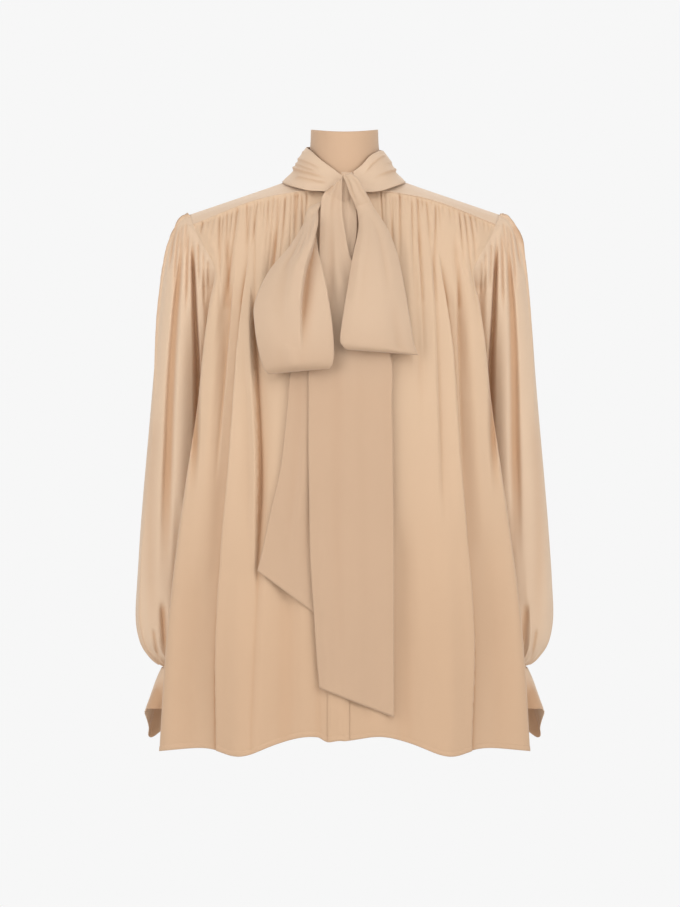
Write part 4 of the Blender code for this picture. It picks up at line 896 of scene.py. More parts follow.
def sleeve_ring(ring, fractions):
    """A ring of a sleeve, from its outer point by the front and the inner side."""
    outer = np.array((ring.outer[0], 0.0, ring.outer[1]))
    inner = np.array((ring.inner[0], 0.0, ring.inner[1]))
    half = (outer - inner) / 2
    size = np.linalg.norm(half)
    draw = np.array((-half[2], 0.0, half[0])) / size
    turn = 2 * np.pi * fractions
    points = (outer + inner) / 2 + np.cos(turn)[:, None] * half
    points += (ring.bow * np.sin(turn) ** 2)[:, None] * draw
    points[:, 1] = ring.middle_y - ring.half_depth * np.sin(turn)
    return points


def sleeve_base(places, columns):
    """The plain sleeve on the +X side, ring by ring from the armhole to the wrist."""
    seam = armhole_path()
    closed = np.concatenate((seam, seam[:1]))
    cap = crowded(columns, CAP_CROWDING)
    rings = [spaced(closed, cap)]
    for number, ring in enumerate(SLEEVE):
        spread = eased(*CAP_SPREAD_RINGS, number)
        rings.append(sleeve_ring(ring, cap + (columns - cap) * spread))
    return smooth_rows(range(len(rings)), rings, places)


def cuff_ring(columns, z):
    """A level ring of the cuff's band."""
    turn = 2 * np.pi * columns
    x = BAND_MIDDLE[0] + BAND_RADIUS * np.cos(turn)
    y = BAND_MIDDLE[1] - BAND_RADIUS * np.sin(turn)
    return np.stack((x, y, np.full_like(x, z)), axis=1)


def line_at(values, top, foot, level):
    """A line given at equal steps from its top to its foot, and how far down each level is."""
    part = (level - top) / (foot - top)
    inside = np.clip(part, 0.0, 1.0)
    line = smooth_rows(even(len(values) - 1), values, inside.ravel())
    return line.reshape(part.shape), part


def soft_heights(folds, across, z):
    """How far soft ridges and hollows, and channels with firm edges, move the cloth."""
    total = np.zeros_like(across)
    for fold in folds:
        line, part = line_at(fold.line, fold.top, fold.foot, z)
        width = fold.width
        if np.ndim(width):
            width = line_at(width, fold.top, fold.foot, z)[0]
        shape = np.exp(-(np.abs(across - line) / width) ** fold.firm)
        total += fold.height * between(LINE_FADE, part) * shape
    return total


def step_shape(fold, away):
    """A fold that lies over the cloth beside it: it rises, drops and comes back."""
    ridge = fold.rise * bell(np.minimum(away, 0.0), fold.inner)
    hollow = fold.sink * bell(np.maximum(away - fold.step, 0.0), fold.outer)
    fallen = eased(0.0, fold.step, away)
    return ridge * (1 - fallen) - hollow * fallen


def step_heights(folds, across, z, way=1):
    """How far folds that lie over each other move the cloth, with a crease at their foot."""
    total = np.zeros_like(across)
    for fold in folds:
        line, part = line_at(fold.line, fold.top, fold.foot, z)
        away = (across - line) * way
        groove = STEP_GROOVE_SHARE * fold.sink * bell(away - fold.step, STEP_GROOVE_WIDTH)
        total += between(LINE_FADE, part) * (step_shape(fold, away) - groove)
    return total


def uneven_gathers(row):
    """The gathers of a seam, each with a place, a lean, a length, a depth and a width."""
    draw = np.random.default_rng(row.seed)
    steps = GATHER_LEAST_STEP + draw.random(row.count)
    places = row.first + (row.last - row.first) * (np.cumsum(steps) - steps / 2) / steps.sum()
    kinds = np.searchsorted(GATHER_SHARES, draw.random(row.count), side="right")
    lengths = []
    for kind, share in zip(kinds, draw.random(row.count)):
        short, long = GATHER_LENGTHS[kind]
        lengths.append(short + (long - short) * share)
    lean = GATHER_LEAN * (draw.random(row.count) - 0.5)
    varied = [size * (least + more * draw.random(row.count)) for size, (least, more) in (
        (GATHER_ONSET, ONSET_RANGE), (row.depth, DEPTH_RANGE), (row.width, WIDTH_RANGE))]
    return list(zip(places, lean, lengths, *varied))


def gather_heights(row, across, drops, size=None):
    """How far a seam's gathers move the cloth.  Places are in metres, or on a ring in turns."""
    total = np.zeros_like(across)
    drops = drops[:, None] * np.ones(across.shape[1])
    for place, lean, length, onset, depth, width in uneven_gathers(row):
        reach = np.clip(drops / length, 0.0, 1.0)
        strength = eased(0.0, onset, drops) * (1 - reach) ** GATHER_FADE_POWER
        if size is None:
            away = across - place * (1 + GATHER_FLARE * drops) - lean * drops
        else:
            away = ((across - place + 0.5) % 1.0 - 0.5) * size[:, None] - lean * drops
        spread = width * (1 + GATHER_SPREAD * reach)
        crease = CREASE_SHARE * bell(away, spread)
        hollow = (1 - CREASE_SHARE) * bell(away, spread * HOLLOW_SPREAD)
        total -= depth * strength * (crease + hollow)
    return total


# The hollows found here are painted darker as fold shade
def local_hollows(height, spacing, ring=False):
    """How far each point lies below the cloth within a few millimetres of it, on either side."""
    reach = max(1, int(round(HOLLOW_REACH / spacing)))
    weights = soft_weights(reach)
    edge = "wrap" if ring else "edge"
    padded = np.pad(height, ((0, 0), (3 * reach, 3 * reach)), mode=edge)
    around = np.array([np.convolve(row, weights, mode="valid") for row in padded])
    return np.minimum(height - around, 0.0)


def row_sizes(grid, ring=False):
    """The length of each row of a grid."""
    rows = np.concatenate((grid, grid[:, :1]), axis=1) if ring else grid
    return np.linalg.norm(np.diff(rows, axis=1), axis=2).sum(axis=1)


def row_drops(grid):
    """How far down the cloth each row of a grid lies."""
    steps = np.linalg.norm(np.diff(grid, axis=0), axis=2).mean(axis=1)
    return np.concatenate(([0.0], np.cumsum(steps)))


def rows_from_end(grid):
    """How far each row of a grid lies from the last one."""
    drops = row_drops(grid)
    return drops[-1] - drops


def hem_heights(from_hem):
    """A turned hem: a little thicker, with a groove where it is sewn."""
    turned = HEM_STAND * (1 - eased(HEM_DEPTH, HEM_DEPTH + HEM_GROOVE_WIDTH, from_hem))
    groove = HEM_GROOVE * bell(from_hem - HEM_DEPTH, HEM_GROOVE_WIDTH)
    return (turned - groove)[:, None]


def moved(grid, height, ring=False):
    """A grid moved out by a height at each point."""
    return grid + outward(grid, ring) * height[:, :, None]


def under_seam(grid, ring=False):
    """Adds a first row that lies just under the piece above the seam."""
    up = (grid[0] - grid[1]) / np.linalg.norm(grid[1] - grid[0], axis=1)[:, None]
    inward = outward(grid, ring)[0] * UNDER_SEAM
    first = grid[0] + up * SEAM_LAP - inward
    lowered = grid.copy()
    lowered[0] -= inward * UNDER_SEAM_SECOND
    return np.concatenate((first[None], lowered), axis=0)


def fine_drops():
    """How far down the body's fine rows lie: those near the seam, and those below."""
    top = np.concatenate((SEAM_ROWS, np.linspace(TOP_START, TOP_END, TOP_ROWS)))
    lower = np.linspace(TOP_END, BODY_LENGTH - HEM_START, LOWER_ROWS)
    return top, np.concatenate((lower, BODY_LENGTH - np.array(HEM_ROWS)))


def front_flutes(x, z):
    """The hem wave of the fronts."""
    crest = bell(np.abs(x) - FRONT_FLUTE_CREST, FRONT_FLUTE_WIDTH)
    hollow = bell(np.abs(x) - FRONT_FLUTE_HOLLOW, FRONT_FLUTE_WIDTH)
    return eased(FLUTE_START, FLUTE_END, z) * (crest - FRONT_HOLLOW_SHARE * hollow)


def back_flutes(x, z):
    """The hem wave of the back."""
    return eased(FLUTE_START, FLUTE_END, z) * np.cos(2 * np.pi * x / BACK_FLUTE_LENGTH)


@lru_cache(maxsize=None)
def smooth_body(name):
    """The plain rows of a front or of the back at close equal steps, without sudden turns."""
    table, seam = (FRONT, front_seam_path()) if name == "front" else (BACK, back_seam_path())
    drops = np.linspace(0.0, table[-1].drop, BODY_STEPS)
    rows = smooth_rows([row.drop for row in table], body_rows(table, seam), drops)
    reach = int(round(BODY_SMOOTH_REACH / (drops[1] - drops[0])))
    around = ((3 * reach, 3 * reach), (0, 0), (0, 0))
    padded = np.pad(rows, around, mode="reflect", reflect_type="odd")
    soft = sum(weight * padded[n:n + len(rows)] for n, weight in enumerate(soft_weights(reach)))
    amount = between(BODY_SMOOTH_DROPS, drops)[:, None]
    to_edge = np.linspace(0.0, 1.0, rows.shape[1])
    by_armhole = 1 - eased(ARMHOLE_END, ARMHOLE_END + ARMHOLE_FADE, drops)
    hold = eased(*EDGE_HOLD, to_edge)[None, :] * by_armhole[:, None]
    return drops, rows + (soft - rows) * (amount * (1 - hold))[:, :, None]


def panel_rows(name, drops, columns, start):
    """A panel's plain surface on the +X side.  Its corner always lies at the same column."""
    steps, rows = smooth_body(name)
    rows = smooth_rows(steps, rows, drops)
    turn = rows.shape[1] - FLANK_POINTS
    before = np.clip(columns / CORNER_COLUMN, 0.0, 1.0)
    after = np.clip((columns - CORNER_COLUMN) / (1 - CORNER_COLUMN), 0.0, 1.0)
    grid = []
    for row in rows:
        mirrored = row[turn - 1:0:-1] * MIRROR
        whole = np.concatenate((mirrored, row[:turn]))
        length = lengths_along(whole)
        middle = len(mirrored)
        near = slice(middle - turn // 2, middle + turn // 2)
        begin = np.interp(start, whole[near, 0], length[near]) / length[-1]
        first = spaced(whole, begin + (1 - begin) * before)
        second = spaced(row[turn - 1:], after)
        grid.append(np.where((columns <= CORNER_COLUMN)[:, None], first, second))
    return np.array(grid)


def bridged(grid, amount):
    """Brings the cloth forward beside the armhole, so that the seam lies level with both sides."""
    x, y, z = (grid[:, :, n].copy() for n in range(3))
    levels = [-row[0] for row in ARMHOLE_BRIDGE]
    near_x, near_y, far_x, far_y, share = (
        np.interp(-z, levels, [row[n] for row in ARMHOLE_BRIDGE]) for n in range(1, 6))
    part = (x - near_x) / (far_x - near_x)
    share_across = BRIDGE_STRAIGHT * part + (1 - BRIDGE_STRAIGHT) * eased(0.0, 1.0, part)
    target = near_y + (far_y - near_y) * share_across
    inside = (part > 0) & (part < 1) & (y < 0)
    grid = grid.copy()
    grid[:, :, 1] += np.where(inside, share * amount * np.minimum(target - y, 0.0), 0.0)
    return grid


def front_rows(side, drops, columns, gathered=True):
    """A front's outer surface with its folds, and how deep each point lies in them."""
    start = PLACKET_LEFT * side + OPENING_GAP
    grid = panel_rows("front", drops, columns, start)
    across = panel_across(grid, columns)
    z = grid[:, :, 2]
    fade = between((0.0, OPENING_CALM, *FLANK_CALM), columns)
    height = FRONT_FLUTE_HEIGHT * front_flutes(across, z)
    if gathered:
        soft = LEFT_SOFT_FOLDS if side > 0 else RIGHT_SOFT_FOLDS
        steps = LEFT_STEPS if side > 0 else RIGHT_STEPS
        height = height + soft_heights(soft, across, z) + step_heights(steps, across, z)
        if side < 0:
            height += step_heights(RIGHT_BACKWARD_STEPS, across, z, way=-1)
    height = height * fade
    pushed = np.zeros_like(z)
    if gathered:
        grid = bridged(grid, 1.0)
        puff = SEAM_PUFF * between(SEAM_PUFF_DROPS, drops)[:, None] * between(FRONT_PUFF, across)
        creases = gather_heights(FRONT_GATHER_ROWS[side], across, drops)
        creases = creases * (1 - eased(*GATHER_CALM, columns))
        height = height + puff + creases + hem_heights(BODY_LENGTH - drops)
        pushed = soft_heights(SHOULDER_FOLDS[side], grid[:, :, 0], z)
    hollows = local_hollows(height + pushed, row_sizes(grid).mean() / len(columns))
    hollows = np.minimum(hollows, VALLEY_SHADE * pushed)
    drop = FRONT_FLUTE_DROP * front_flutes(across, z) * fade
    grid = moved(grid, height)
    grid[:, :, 1] -= pushed
    grid[:, :, 2] -= drop
    grid[:, :, 0] *= side
    return grid, hollows


def panel_across(grid, columns):
    """Distance from the middle along a half panel, growing on round its corner."""
    across = grid[:, :, 0].copy()
    corner = int(np.sum(columns <= CORNER_COLUMN)) - 1
    for line, row in zip(across, grid):
        length = lengths_along(row)
        line[corner:] = row[corner, 0] + length[corner:] - length[corner]
    return across


def back_rows(drops, columns):
    """The back's outer surface with its folds, from the +X side seam to the -X one."""
    count = len(columns) // 2 + 1
    half_columns = np.linspace(0, 1, count)
    half = panel_rows("back", drops, half_columns, 0.0)
    half_across = panel_across(half, half_columns)
    other = half[:, :0:-1] * MIRROR
    grid = np.concatenate((other, half), axis=1)[:, ::-1]
    across = np.concatenate((-half_across[:, :0:-1], half_across), axis=1)[:, ::-1]
    z = grid[:, :, 2]
    to_side = np.abs(columns - 0.5) * 2
    fade = 1 - eased(*FLANK_CALM, to_side)
    edges = 1 - eased(*BACK_EDGE_CALM, to_side)
    folds = soft_heights(BACK_SOFT_FOLDS, across, z) * fade
    folds = folds + gather_heights(BACK_GATHER_ROW, across, drops) * edges
    puff = SEAM_PUFF * between(SEAM_PUFF_DROPS, drops)[:, None] * edges
    hem = hem_heights(BODY_LENGTH - drops)
    flutes = back_flutes(across, z)
    height = BACK_FLUTE_HEIGHT * flutes * fade + folds + puff + hem
    drop = BACK_FLUTE_DROP * flutes * fade
    hollows = local_hollows(height, row_sizes(grid).mean() / len(columns))
    grid = moved(grid, height)
    grid[:, :, 2] -= drop
    grid[:, 0, 1] += 2 * SEAM
    grid[:, -1, 1] += 2 * SEAM
    return grid, hollows


def sleeve_rows(side, places, columns):
    """A sleeve's outer surface with its folds."""
    grid = sleeve_base(places, columns)
    turn = 2 * np.pi * columns[None, :]
    size = row_sizes(grid, ring=True)
    drops = row_drops(grid)
    x = grid[:, :, 0]
    z = grid[:, :, 2]
    front = eased(*SLEEVE_SIDE_TURN, np.sin(turn)) * np.ones_like(x)
    back = eased(*SLEEVE_SIDE_TURN, -np.sin(turn)) * np.ones_like(x)
    grid = bridged(grid, front)
    pushed = soft_heights(SHOULDER_FOLDS[side] + SLEEVE_FRONT_FOLDS[side], x, z) * front
    pulled = soft_heights(SLEEVE_BACK_FOLDS[side], x, z) * back
    across = columns[None, :] * np.ones_like(x)
    folds = gather_heights(CAP_GATHER_ROWS[side], across, drops, size)
    folds = folds + gather_heights(WRIST_GATHER_ROWS[side], across, drops[-1] - drops, size)
    top = np.clip(np.cos(turn) * CAP_TOP_SCALE - CAP_TOP_START, 0.0, 1.0)
    puff = CAP_PUFF * between(CAP_PUFF_DROPS, drops)[:, None] * top
    grid = moved(grid, folds + puff, ring=True)
    grid[:, :, 1] += pulled - pushed
    grid[:, :, 0] *= side
    hollows = local_hollows(folds + pushed + pulled, size.mean() / len(columns), ring=True)
    hollows = np.minimum(hollows, VALLEY_SHADE * np.minimum(pushed, pulled))
    return grid, hollows


def band_rows(side, columns):
    """The band of a cuff, a little rounded from its top to its foot."""
    levels = np.linspace(BAND_TOP + BAND_TOP_GAP, BAND_FOOT, BAND_ROWS)
    grid = np.array([cuff_ring(columns, z) for z in levels])
    roll = BAND_ROLL * np.sin(np.linspace(0, np.pi, BAND_ROWS))[:, None] * np.ones(len(columns))
    return moved(grid, roll, ring=True) * np.array((side, 1, 1))


def flare_rows(side, rows, columns):
    """The flare of a cuff, from the band to its rim."""
    rim = np.array(FLARE_RIM + FLARE_RIM[:1])
    rim = smooth_rows(np.linspace(0, 1, len(rim)), rim, columns)
    top = cuff_ring(columns, FLARE_TOP)
    top[:, :2] = BAND_MIDDLE + (top[:, :2] - BAND_MIDDLE) * FLARE_OVER_BAND
    spread = rows[:, None, None] ** np.array(FLARE_SPREAD)
    grid = top + (rim - top) * spread
    growth = FLARE_WAVE_HEIGHT * eased(FLARE_WAVE_START, 1.0, rows)[:, None]
    wave = growth * np.cos(2 * np.pi * FLARE_WAVES * columns)
    grid = moved(grid, wave + hem_heights(rows_from_end(grid)), ring=True)
    grid[:, :, 0] *= side
    # The depths returned paint shade into the troughs of the flare's waves
    return grid, wave - growth


def collar_rows(places, columns):
    """The stand collar, all round, from the neck seam to its top edge."""
    turn = 2 * np.pi * columns
    rings = []
    for ring in COLLAR:
        x = ring.half_width * np.sin(turn)
        y = ring.middle_y - ring.half_depth * np.cos(turn)
        share = (1 - np.cos(turn)) / 2
        z = ring.front_z + (ring.back_z - ring.front_z) * share
        rings.append(np.stack((x, y, z), axis=1))
    angles = np.minimum(columns, 1 - columns) * 360
    rings[0][:, 2] = smooth_rows(NECK_ANGLES, NECK_HEIGHTS, angles) + 2 * SEAM
    dip = COLLAR_FRONT_DIP * np.clip(np.cos(turn), 0.0, 1.0) ** 2
    rings[-1][:, 2] += COLLAR_SIDE_RISE * np.sin(turn) ** 2 - dip
    return smooth_rows(range(len(rings)), rings, places)[:, ::-1]


def wrap_rows(side, table, creases, columns, shares):
    """The scarf's turn round one side of the collar, from the back to the knot."""
    angles = [section.angle for section in table][::-1]
    values = [tuple(section)[1:] for section in table][::-1]
    at = table[0].angle + (table[-1].angle - table[0].angle) * columns
    top, foot, stand, roll = smooth_rows(angles, values, at).T
    knots = np.array(WRAP_PROFILE)
    puffs = smooth_rows(knots[:, 0], knots[:, 1], shares)
    turn = np.radians(at)
    grid = []
    for share, puff in zip(shares, puffs):
        at_edge = (1 - eased(*WRAP_EDGE_SHARES, share)) * eased(*WRAP_EDGE_ANGLES, at)
        z = foot + (top - foot) * share - WRAP_EDGE_DROP * puff * at_edge
        above = z - smooth_rows(NECK_ANGLES, NECK_HEIGHTS, at)
        lean = np.clip(above / LEAN_HEIGHT, 0.0, 1.0)
        out = stand + roll * puff
        half_width = NECK_HALF_WIDTH - LEAN_IN_SIDE * lean ** LEAN_POWER + out
        half_depth = NECK_HALF_DEPTH - LEAN_IN_FRONT * lean ** LEAN_POWER + out
        x = half_width * np.sin(turn)
        y = NECK_MIDDLE_Y + LEAN_BACK * lean - half_depth * np.cos(turn)
        grid.append(np.stack((x, y, z), axis=1))
    grid = np.array(grid)
    height = np.zeros(grid.shape[:2])
    for crease in creases:
        run = np.array(crease.angles, dtype=float)
        line = np.interp(at, run[::-1], np.array(crease.shares)[::-1])
        part = (run[0] - at) / (run[0] - run[-1])
        away = (shares[:, None] - line[None, :]) * (top - foot)[None, :]
        height += crease.height * between(WRAP_CREASE_FADE, part) * bell(away, crease.width)
    grid = moved(grid, height)
    grid[:, :, 0] *= side
    # The creases' heights go back as depths, which paint shade into the creases
    return grid, height


def ribbon_folds(folds, steps, grid, places, columns):
    """How far the folds of a ribbon move it."""
    level = places[:, None] * np.ones(len(columns))
    size = row_sizes(grid)[:, None]
    height = np.zeros(level.shape)
    for fold in folds:
        line, part = line_at(fold.line, fold.first, fold.last, level)
        away = (columns[None, :] - line) * size
        height += fold.height * between(LINE_FADE, part) * bell(away, fold.width)
    for fold in steps:
        line, part = line_at(fold.line, fold.first, fold.last, level)
        away = (columns[None, :] - line) * size
        height += between(RIBBON_STEP_FADE, part) * step_shape(fold, away)
    return height


def ribbon_rows(table, folds, steps, places, columns):
    """A ribbon of the bow: each row goes from edge to edge with its middle standing out."""
    rows = [tuple(row.left) + tuple(row.right) + (row.out,) for row in table]
    values = smooth_rows(range(len(rows)), rows, places)
    left, right, out = values[:, 0:3], values[:, 3:6], values[:, 6]
    grid = left[:, None] + (right - left)[:, None] * columns[None, :, None]
    arch = 1 - np.abs(2 * columns - 1) ** RIBBON_FLATNESS
    grid[:, :, 1] -= out[:, None] * arch
    height = ribbon_folds(folds, steps, grid, places, columns)
    hollows = local_hollows(height, row_sizes(grid).mean() / len(columns))
    return moved(grid, height), hollows


@lru_cache(maxsize=None)
def plain_fronts():
    """Both fronts without folds, for what hangs on them."""
    drops = np.linspace(0.0, BODY_LENGTH, PLAIN_ROWS)
    columns = np.linspace(0.0, 1.0, PLAIN_COLUMNS)
    return {side: front_rows(side, drops, columns, gathered=False)[0] for side in (-1, 1)}


def front_depth(x, z):
    """How far forward the fronts stand at places seen from the front."""
    found = {}
    for side, panel in plain_fronts().items():
        rows = [row[np.argsort(row[:, 0])] for row in panel[::-1]]
        line_y, line_z = (
            np.array([np.interp(x, row[:, 0], row[:, axis]) for row in rows]) for axis in (1, 2))
        found[side] = np.array([
            np.interp(at, line_z[:, n], line_y[:, n]) for n, at in enumerate(z)])
    return np.where(x < PLACKET_LEFT + SEAM, found[-1], found[1])


def tail_rows(table, folds, places, columns, wave_height):
    """A tail that hangs down the fronts, just clear of them."""
    grid = []
    for values in smooth_rows(range(len(table)), table, places):
        row = TailRow(*values)
        x = row.left_x + (row.right_x - row.left_x) * columns
        z = row.left_z + (row.right_z - row.left_z) * columns
        wave = wave_height * (1 + np.cos(2 * np.pi * TAIL_WAVES * columns))
        y = front_depth(x, z) - row.clear - wave
        grid.append(np.stack((x, y, z), axis=1))
    grid = np.array(grid)
    height = ribbon_folds(folds, (), grid, places, columns)
    hollows = local_hollows(height, row_sizes(grid).mean() / len(columns))
    return moved(grid, height + hem_heights(rows_from_end(grid))), hollows


def strip(above, below, ring):
    """Faces between two rows of a grid as pairs of row and column."""
    first, count_above = above
    second, count_below = below
    steps_above = count_above if ring else count_above - 1
    steps_below = count_below if ring else count_below - 1
    faces = []
    if steps_above == steps_below:
        for n in range(steps_above):
            faces.append(((first, n), (second, n), (second, n + 1), (first, n + 1)))
    else:
        for n in range(steps_below):
            faces.append(((first, 2 * n), (second, n), (first, 2 * n + 1)))
            faces.append(((first, 2 * n + 1), (second, n), (second, n + 1)))
            faces.append(((first, 2 * n + 1), (second, n + 1), (first, 2 * n + 2)))
    return faces


def link_piece(name, mesh):
    """Puts a finished mesh in the scene as a piece that rides on the blouse's one body."""
    piece = bpy.data.objects.new(name, mesh)
    bpy.context.scene.collection.objects.link(piece)
    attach(piece, "root")
    return piece


def add_cloth(name, node, rows, depths, finish, width, ring=False, turned=False):
    """One piece of cloth: a surface through rows of points, made a thin wall.

    Depths say how far each point lies down in a fold, which sets how much shade is painted there,
    and None says that none does.
    """
    rows = list(rows)
    counts = [len(row) for row in rows]
    if depths is None:
        depths = [np.zeros(count) for count in counts]
    starts = np.concatenate(([0], np.cumsum(counts)))
    faces = []
    for n in range(len(rows) - 1):
        faces.extend(strip((n, counts[n]), (n + 1, counts[n + 1]), ring))
    if turned:
        faces = [face[::-1] for face in faces]
    mesh = bpy.data.meshes.new(name)
    numbers = [[int(starts[row]) + column % counts[row] for row, column in face] for face in faces]
    mesh.from_pydata(np.concatenate(rows).tolist(), [], numbers)
    middles = [np.mean(row, axis=0) for row in rows]
    down = lengths_along(np.array(middles))
    steps = [count if ring else count - 1 for count in counts]
    places = [(column / steps[row] * width, -down[row]) for face in faces for row, column in face]
    mesh.uv_layers.new(name="Cloth").data.foreach_set("uv", np.array(places).ravel())
    hollow = mesh.attributes.new("fold_depth", "FLOAT", "POINT")
    hollow.data.foreach_set("value", np.concatenate(list(depths)).astype(np.float32))
    mesh.shade_smooth()
    mesh.materials.append(cloth_finish(finish))
    piece = link_piece(name, mesh)
    wall = piece.modifiers.new("Wall", "SOLIDIFY")
    wall.thickness = CLOTH_WALL
    wall.offset = -1.0
    wall.use_even_offset = False
    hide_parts(node)
    return piece


def add_stitches(name, path, ways_out, finish):
    """Small running stitches along a path of points that lie on the cloth."""
    points = []
    faces = []
    length = lengths_along(path)
    half = STITCH_LENGTH / 2
    sides = STITCH_SIDES
    for at in np.arange(STITCH_PITCH / 2, length[-1] - STITCH_PITCH / 2, STITCH_PITCH):
        middle, ahead, out = (
            np.array([np.interp(place, length, values[:, axis]) for axis in range(3)])
            for place, values in ((at, path), (at + half, path), (at, ways_out)))
        way = (ahead - middle) / np.linalg.norm(ahead - middle)
        side = np.cross(way, out)
        side /= np.linalg.norm(side)
        middle = middle + out * STITCH_LIFT
        first = len(points)
        points.append(middle - way * half)
        for share in STITCH_SHOULDERS:
            for turn in range(sides):
                angle = 2 * np.pi / sides * turn
                round_it = side * np.cos(angle) + out * np.sin(angle)
                points.append(middle + way * STITCH_LENGTH * share + round_it * STITCH_RADIUS)
        points.append(middle + way * half)
        last = len(points) - 1
        for turn in range(sides):
            near = first + 1 + turn
            near_next = first + 1 + (turn + 1) % sides
            faces.append((first, near_next, near))
            faces.append((near, near_next, near_next + sides, near + sides))
            faces.append((near + sides, near_next + sides, last))
    mesh = bpy.data.meshes.new(name)
    mesh.from_pydata([tuple(point) for point in points], [], faces)
    mesh.shade_smooth()
    mesh.materials.append(thread_finish())
    return link_piece(name, mesh)


def add_node(tree, kind, label, **values):
    """A shader node with a label and some settings."""
    node = tree.nodes.new(kind)
    node.label = label
    for key, value in values.items():
        setattr(node, key, value)
    return node


def group_with(name, inputs, outputs):
    """A new shader node group with named inputs and outputs."""
    group = bpy.data.node_groups.new(name, "ShaderNodeTree")
    for label, kind, default in inputs:
        socket = group.interface.new_socket(name=label, in_out="INPUT", socket_type=kind)
        socket.default_value = default
    for label, kind in outputs:
        group.interface.new_socket(name=label, in_out="OUTPUT", socket_type=kind)
    return group


def math_node(tree, label, operation, first, second):
    """A math node between two values or sockets."""
    node = add_node(tree, "ShaderNodeMath", label, operation=operation)
    for socket, value in zip(node.inputs, (first, second)):
        if isinstance(value, (int, float)):
            socket.default_value = value
        else:
            tree.links.new(value, socket)
    return node.outputs[0]


def mix_node(tree, label, blend, factor, first, second):
    """A mix of two colours, by sockets."""
    node = add_node(tree, "ShaderNodeMix", label, data_type="RGBA", blend_type=blend)
    tree.links.new(factor, node.inputs["Factor"])
    tree.links.new(first, node.inputs[MIX_FIRST_COLOUR])
    tree.links.new(second, node.inputs[MIX_SECOND_COLOUR])
    return node.outputs[MIX_COLOUR_OUT]


def noise_node(tree, label, vector, detail, scale):
    """Noise at places, at a scale that is a number or a socket."""
    node = add_node(tree, "ShaderNodeTexNoise", label)
    node.inputs["Detail"].default_value = detail
    tree.links.new(vector, node.inputs["Vector"])
    if isinstance(scale, (int, float)):
        node.inputs["Scale"].default_value = scale
    else:
        tree.links.new(scale, node.inputs["Scale"])
    return node


def crepe_surface():
    """The pebbled surface of crepe: fine threads, uneven twist and a soft waviness."""
    found = bpy.data.node_groups.get("crepe_surface")
    if found:
        return found
    group = group_with("crepe_surface", (
        ("Thread spacing", "NodeSocketFloat", 0.00035),
        ("Pebble size", "NodeSocketFloat", 0.0011),
        ("Waviness", "NodeSocketFloat", 0.3),
    ), (("Height", "NodeSocketFloat"),))
    into = add_node(group, "NodeGroupInput", "sizes")
    place = add_node(group, "ShaderNodeUVMap", "cloth threads", uv_map="Cloth")
    scale = math_node(group, "threads in a metre", "DIVIDE", 0.5, into.outputs["Thread spacing"])
    waves = []
    for label, direction in (("warp", "X"), ("weft", "Y")):
        wave = add_node(group, "ShaderNodeTexWave", label, bands_direction=direction,
                        wave_profile="SIN")
        wave.inputs["Distortion"].default_value = 0.6
        wave.inputs["Detail"].default_value = 1.0
        group.links.new(place.outputs["UV"], wave.inputs["Vector"])
        group.links.new(scale, wave.inputs["Scale"])
        waves.append(wave.outputs["Fac"])
    weave = math_node(group, "threads crossing", "MULTIPLY", waves[0], waves[1])
    scale = math_node(group, "pebbles in a metre", "DIVIDE", 1.0, into.outputs["Pebble size"])
    pebble = noise_node(group, "pebbles", place.outputs["UV"], 2.0, scale)
    pebble.inputs["Roughness"].default_value = 0.6
    wavy = noise_node(group, "soft waviness", place.outputs["UV"], 1.0, 55.0)
    soft = math_node(group, "waviness", "MULTIPLY", wavy.outputs["Fac"], into.outputs["Waviness"])
    fine = math_node(group, "threads and pebbles", "ADD", weave, pebble.outputs["Fac"])
    whole = math_node(group, "whole surface", "ADD", fine, soft)
    out = add_node(group, "NodeGroupOutput", "height")
    group.links.new(whole, out.inputs["Height"])
    return group


